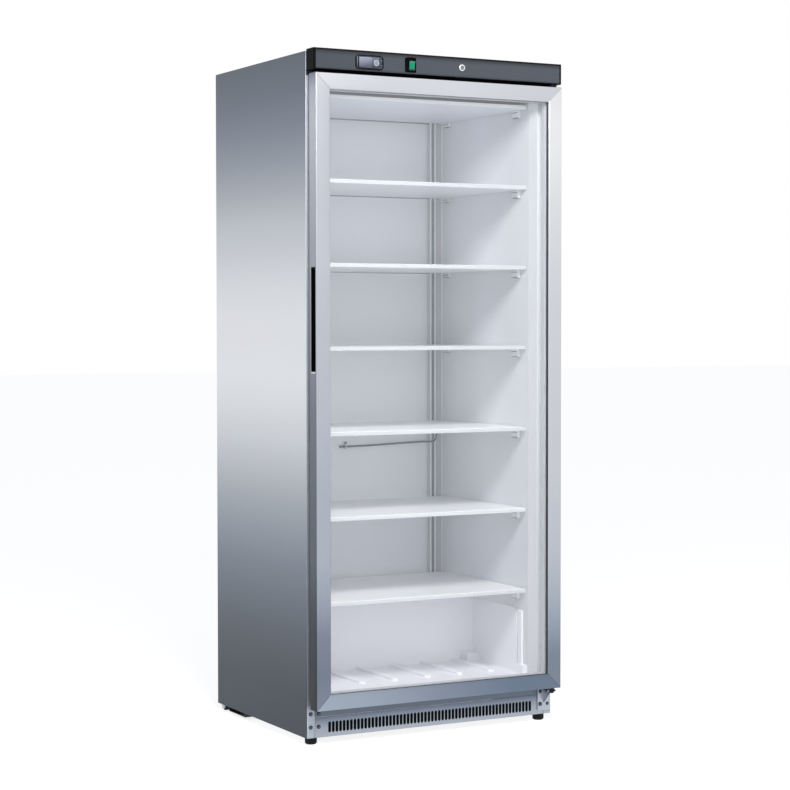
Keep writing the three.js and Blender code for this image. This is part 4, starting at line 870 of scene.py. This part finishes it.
# ---- Machine compartment ----
# The compressor stands on a steel tray between the rollers, with its terminal box on the left
# side. The condenser is bent steel tube on wires, all in black enamel, and the copper drier is
# soldered into its outlet.

machine_black = enamelled("machine_black", (34, 35, 38), 0.35)
dress("compressor_tray", machine_black, ease=0.4, rings=1)
dress("compressor", machine_black, ease=1.5, rings=3, sharp=40)
dress("terminal_box", black_plastic, ease=0.8, rings=2)
dress("condenser", machine_black, ease=0)
dress("wall_spacer", machine_black, ease=0)
dress("filter_drier", polished("copper", (196, 120, 88), 0.25), ease=0.3, rings=1)


# ---- Door frame ----
# Four lengths of folded stainless sheet, mitred at the corners, that hold the outer pane. The
# left one is cut out for the pull.

# Painted shade on the frame's side faces, darkest at the bottom; the front faces' tones below are painted
# reflection.
door_side_shade = brushed("door_side_shade_steel", [
    (102, (24, 29, 36)), (200, (34, 40, 49)), (300, (45, 53, 64)), (400, (64, 71, 82)),
    (500, (86, 94, 104)), (600, (90, 97, 107)), (700, (97, 104, 113)), (900, (111, 116, 127)),
    (1100, (136, 142, 152)), (1300, (152, 158, 168)), (1500, (168, 173, 184)), (1600, (177, 182, 192)),
    (1700, (182, 187, 197)), (1760, (172, 176, 190)), (1790, (140, 144, 162)), (1802, (118, 121, 140)),
])
upright_reflection_tones = {
    "door_frame_left": [
        (102, (120, 127, 143)), (200, (112, 120, 134)), (300, (123, 128, 143)), (400, (149, 156, 169)),
        (500, (166, 172, 183)), (700, (171, 177, 188)), (900, (183, 188, 198)), (1100, (188, 192, 200)),
        (1300, (192, 196, 204)), (1600, (190, 193, 201)), (1700, (190, 193, 201)), (1802, (199, 199, 205)),
    ],
    "door_frame_right": [
        (102, (118, 127, 141)), (200, (120, 130, 143)), (300, (148, 157, 171)), (400, (170, 177, 186)),
        (500, (184, 188, 198)), (700, (197, 200, 206)), (900, (203, 206, 211)), (1200, (208, 211, 216)),
        (1400, (217, 219, 223)), (1600, (230, 232, 234)), (1700, (234, 235, 239)), (1802, (229, 229, 232)),
    ],
}
level_reflection_tones = {
    "door_frame_top": [
        (-386, (204, 205, 210)), (-150, (204, 207, 212)), (60, (208, 211, 217)), (386, (205, 207, 213)),
    ],
    "door_frame_bottom": [
        (-386, (150, 160, 174)), (-240, (146, 156, 169)), (0, (125, 134, 150)), (240, (104, 117, 135)),
        (386, (106, 118, 135)),
    ],
}
for node, tones in upright_reflection_tones.items():
    front = brushed(node + "_steel", tones)
    dress(node, door_side_shade, front, ease=0.5, rings=2, choose=front_or_side)
for node, tones in level_reflection_tones.items():
    front = brushed(node + "_steel", tones, level=True)
    dress(node, door_side_shade, front, ease=0.5, rings=2, choose=front_or_side)


# ---- Door inside ----
# A white plastic frame behind the steel one holds the inner pane and, in a groove, the light
# grey seal. The panes stand on a black spacer bar.

def soft_seal():
    vinyl = Finish("seal_grey", {"Specular IOR Level": 0.3})
    folds = vinyl.speckle(0.03, detail=3.0)
    tone = vinyl.mix(shade(222, 224, 231), shade(206, 208, 216), folds)
    vinyl.set(Base_Color=tone, Roughness=0.5 + 0.15 * folds)
    return vinyl.owner


def flank_or_lip(normal, middle):
    return 1 if abs(normal.x) > 0.5 and abs(middle.x) > 0.36 else 0


dress("door_inner_frame", moulded("frame_white", (212, 213, 218)), ease=0.8, rings=2)
seal_shade = moulded("seal_shade", (58, 65, 77), 0.5, 0.02, 0.1)
dress("door_gasket", soft_seal(), seal_shade, ease=0.5, rings=1, choose=flank_or_lip)
dress("glass_spacer", moulded("spacer_black", (8, 9, 13), 0.5, 0.02, 0.05), ease=0.3, rings=1)


def clear_glass():
    glass = Finish("clear_glass", {"Base Color": (0.86, 0.90, 0.93, 1), "Roughness": 0.03, "IOR": 1.5})
    smear = glass.speckle(0.4, detail=2.0)
    glass.set(Alpha=0.03 + 0.012 * smear)
    return glass.owner


pane = clear_glass()
for node in ("glass_outer", "glass_inner"):
    dress(node, pane, ease=0.6, rings=1)


# ---- Door pull ----
# A black plastic shell let into the left edge of the door, deep enough for the fingers.

def pull_black():
    """Black plastic, with a painted highlight where the edge at its lower end catches the light."""
    plastic = Finish("pull_black", {"Specular IOR Level": 0.05})
    lower_edge_highlight = plastic.place("Z") < 1.0095
    tone = plastic.mix(shade(5, 5, 8), shade(214, 216, 221), lower_edge_highlight)
    plastic.set(Base_Color=tone, Roughness=0.5 + 0.1 * plastic.speckle(0.01))
    return plastic.owner


dress("door_handle_insert", pull_black(), ease=1.0, rings=2)
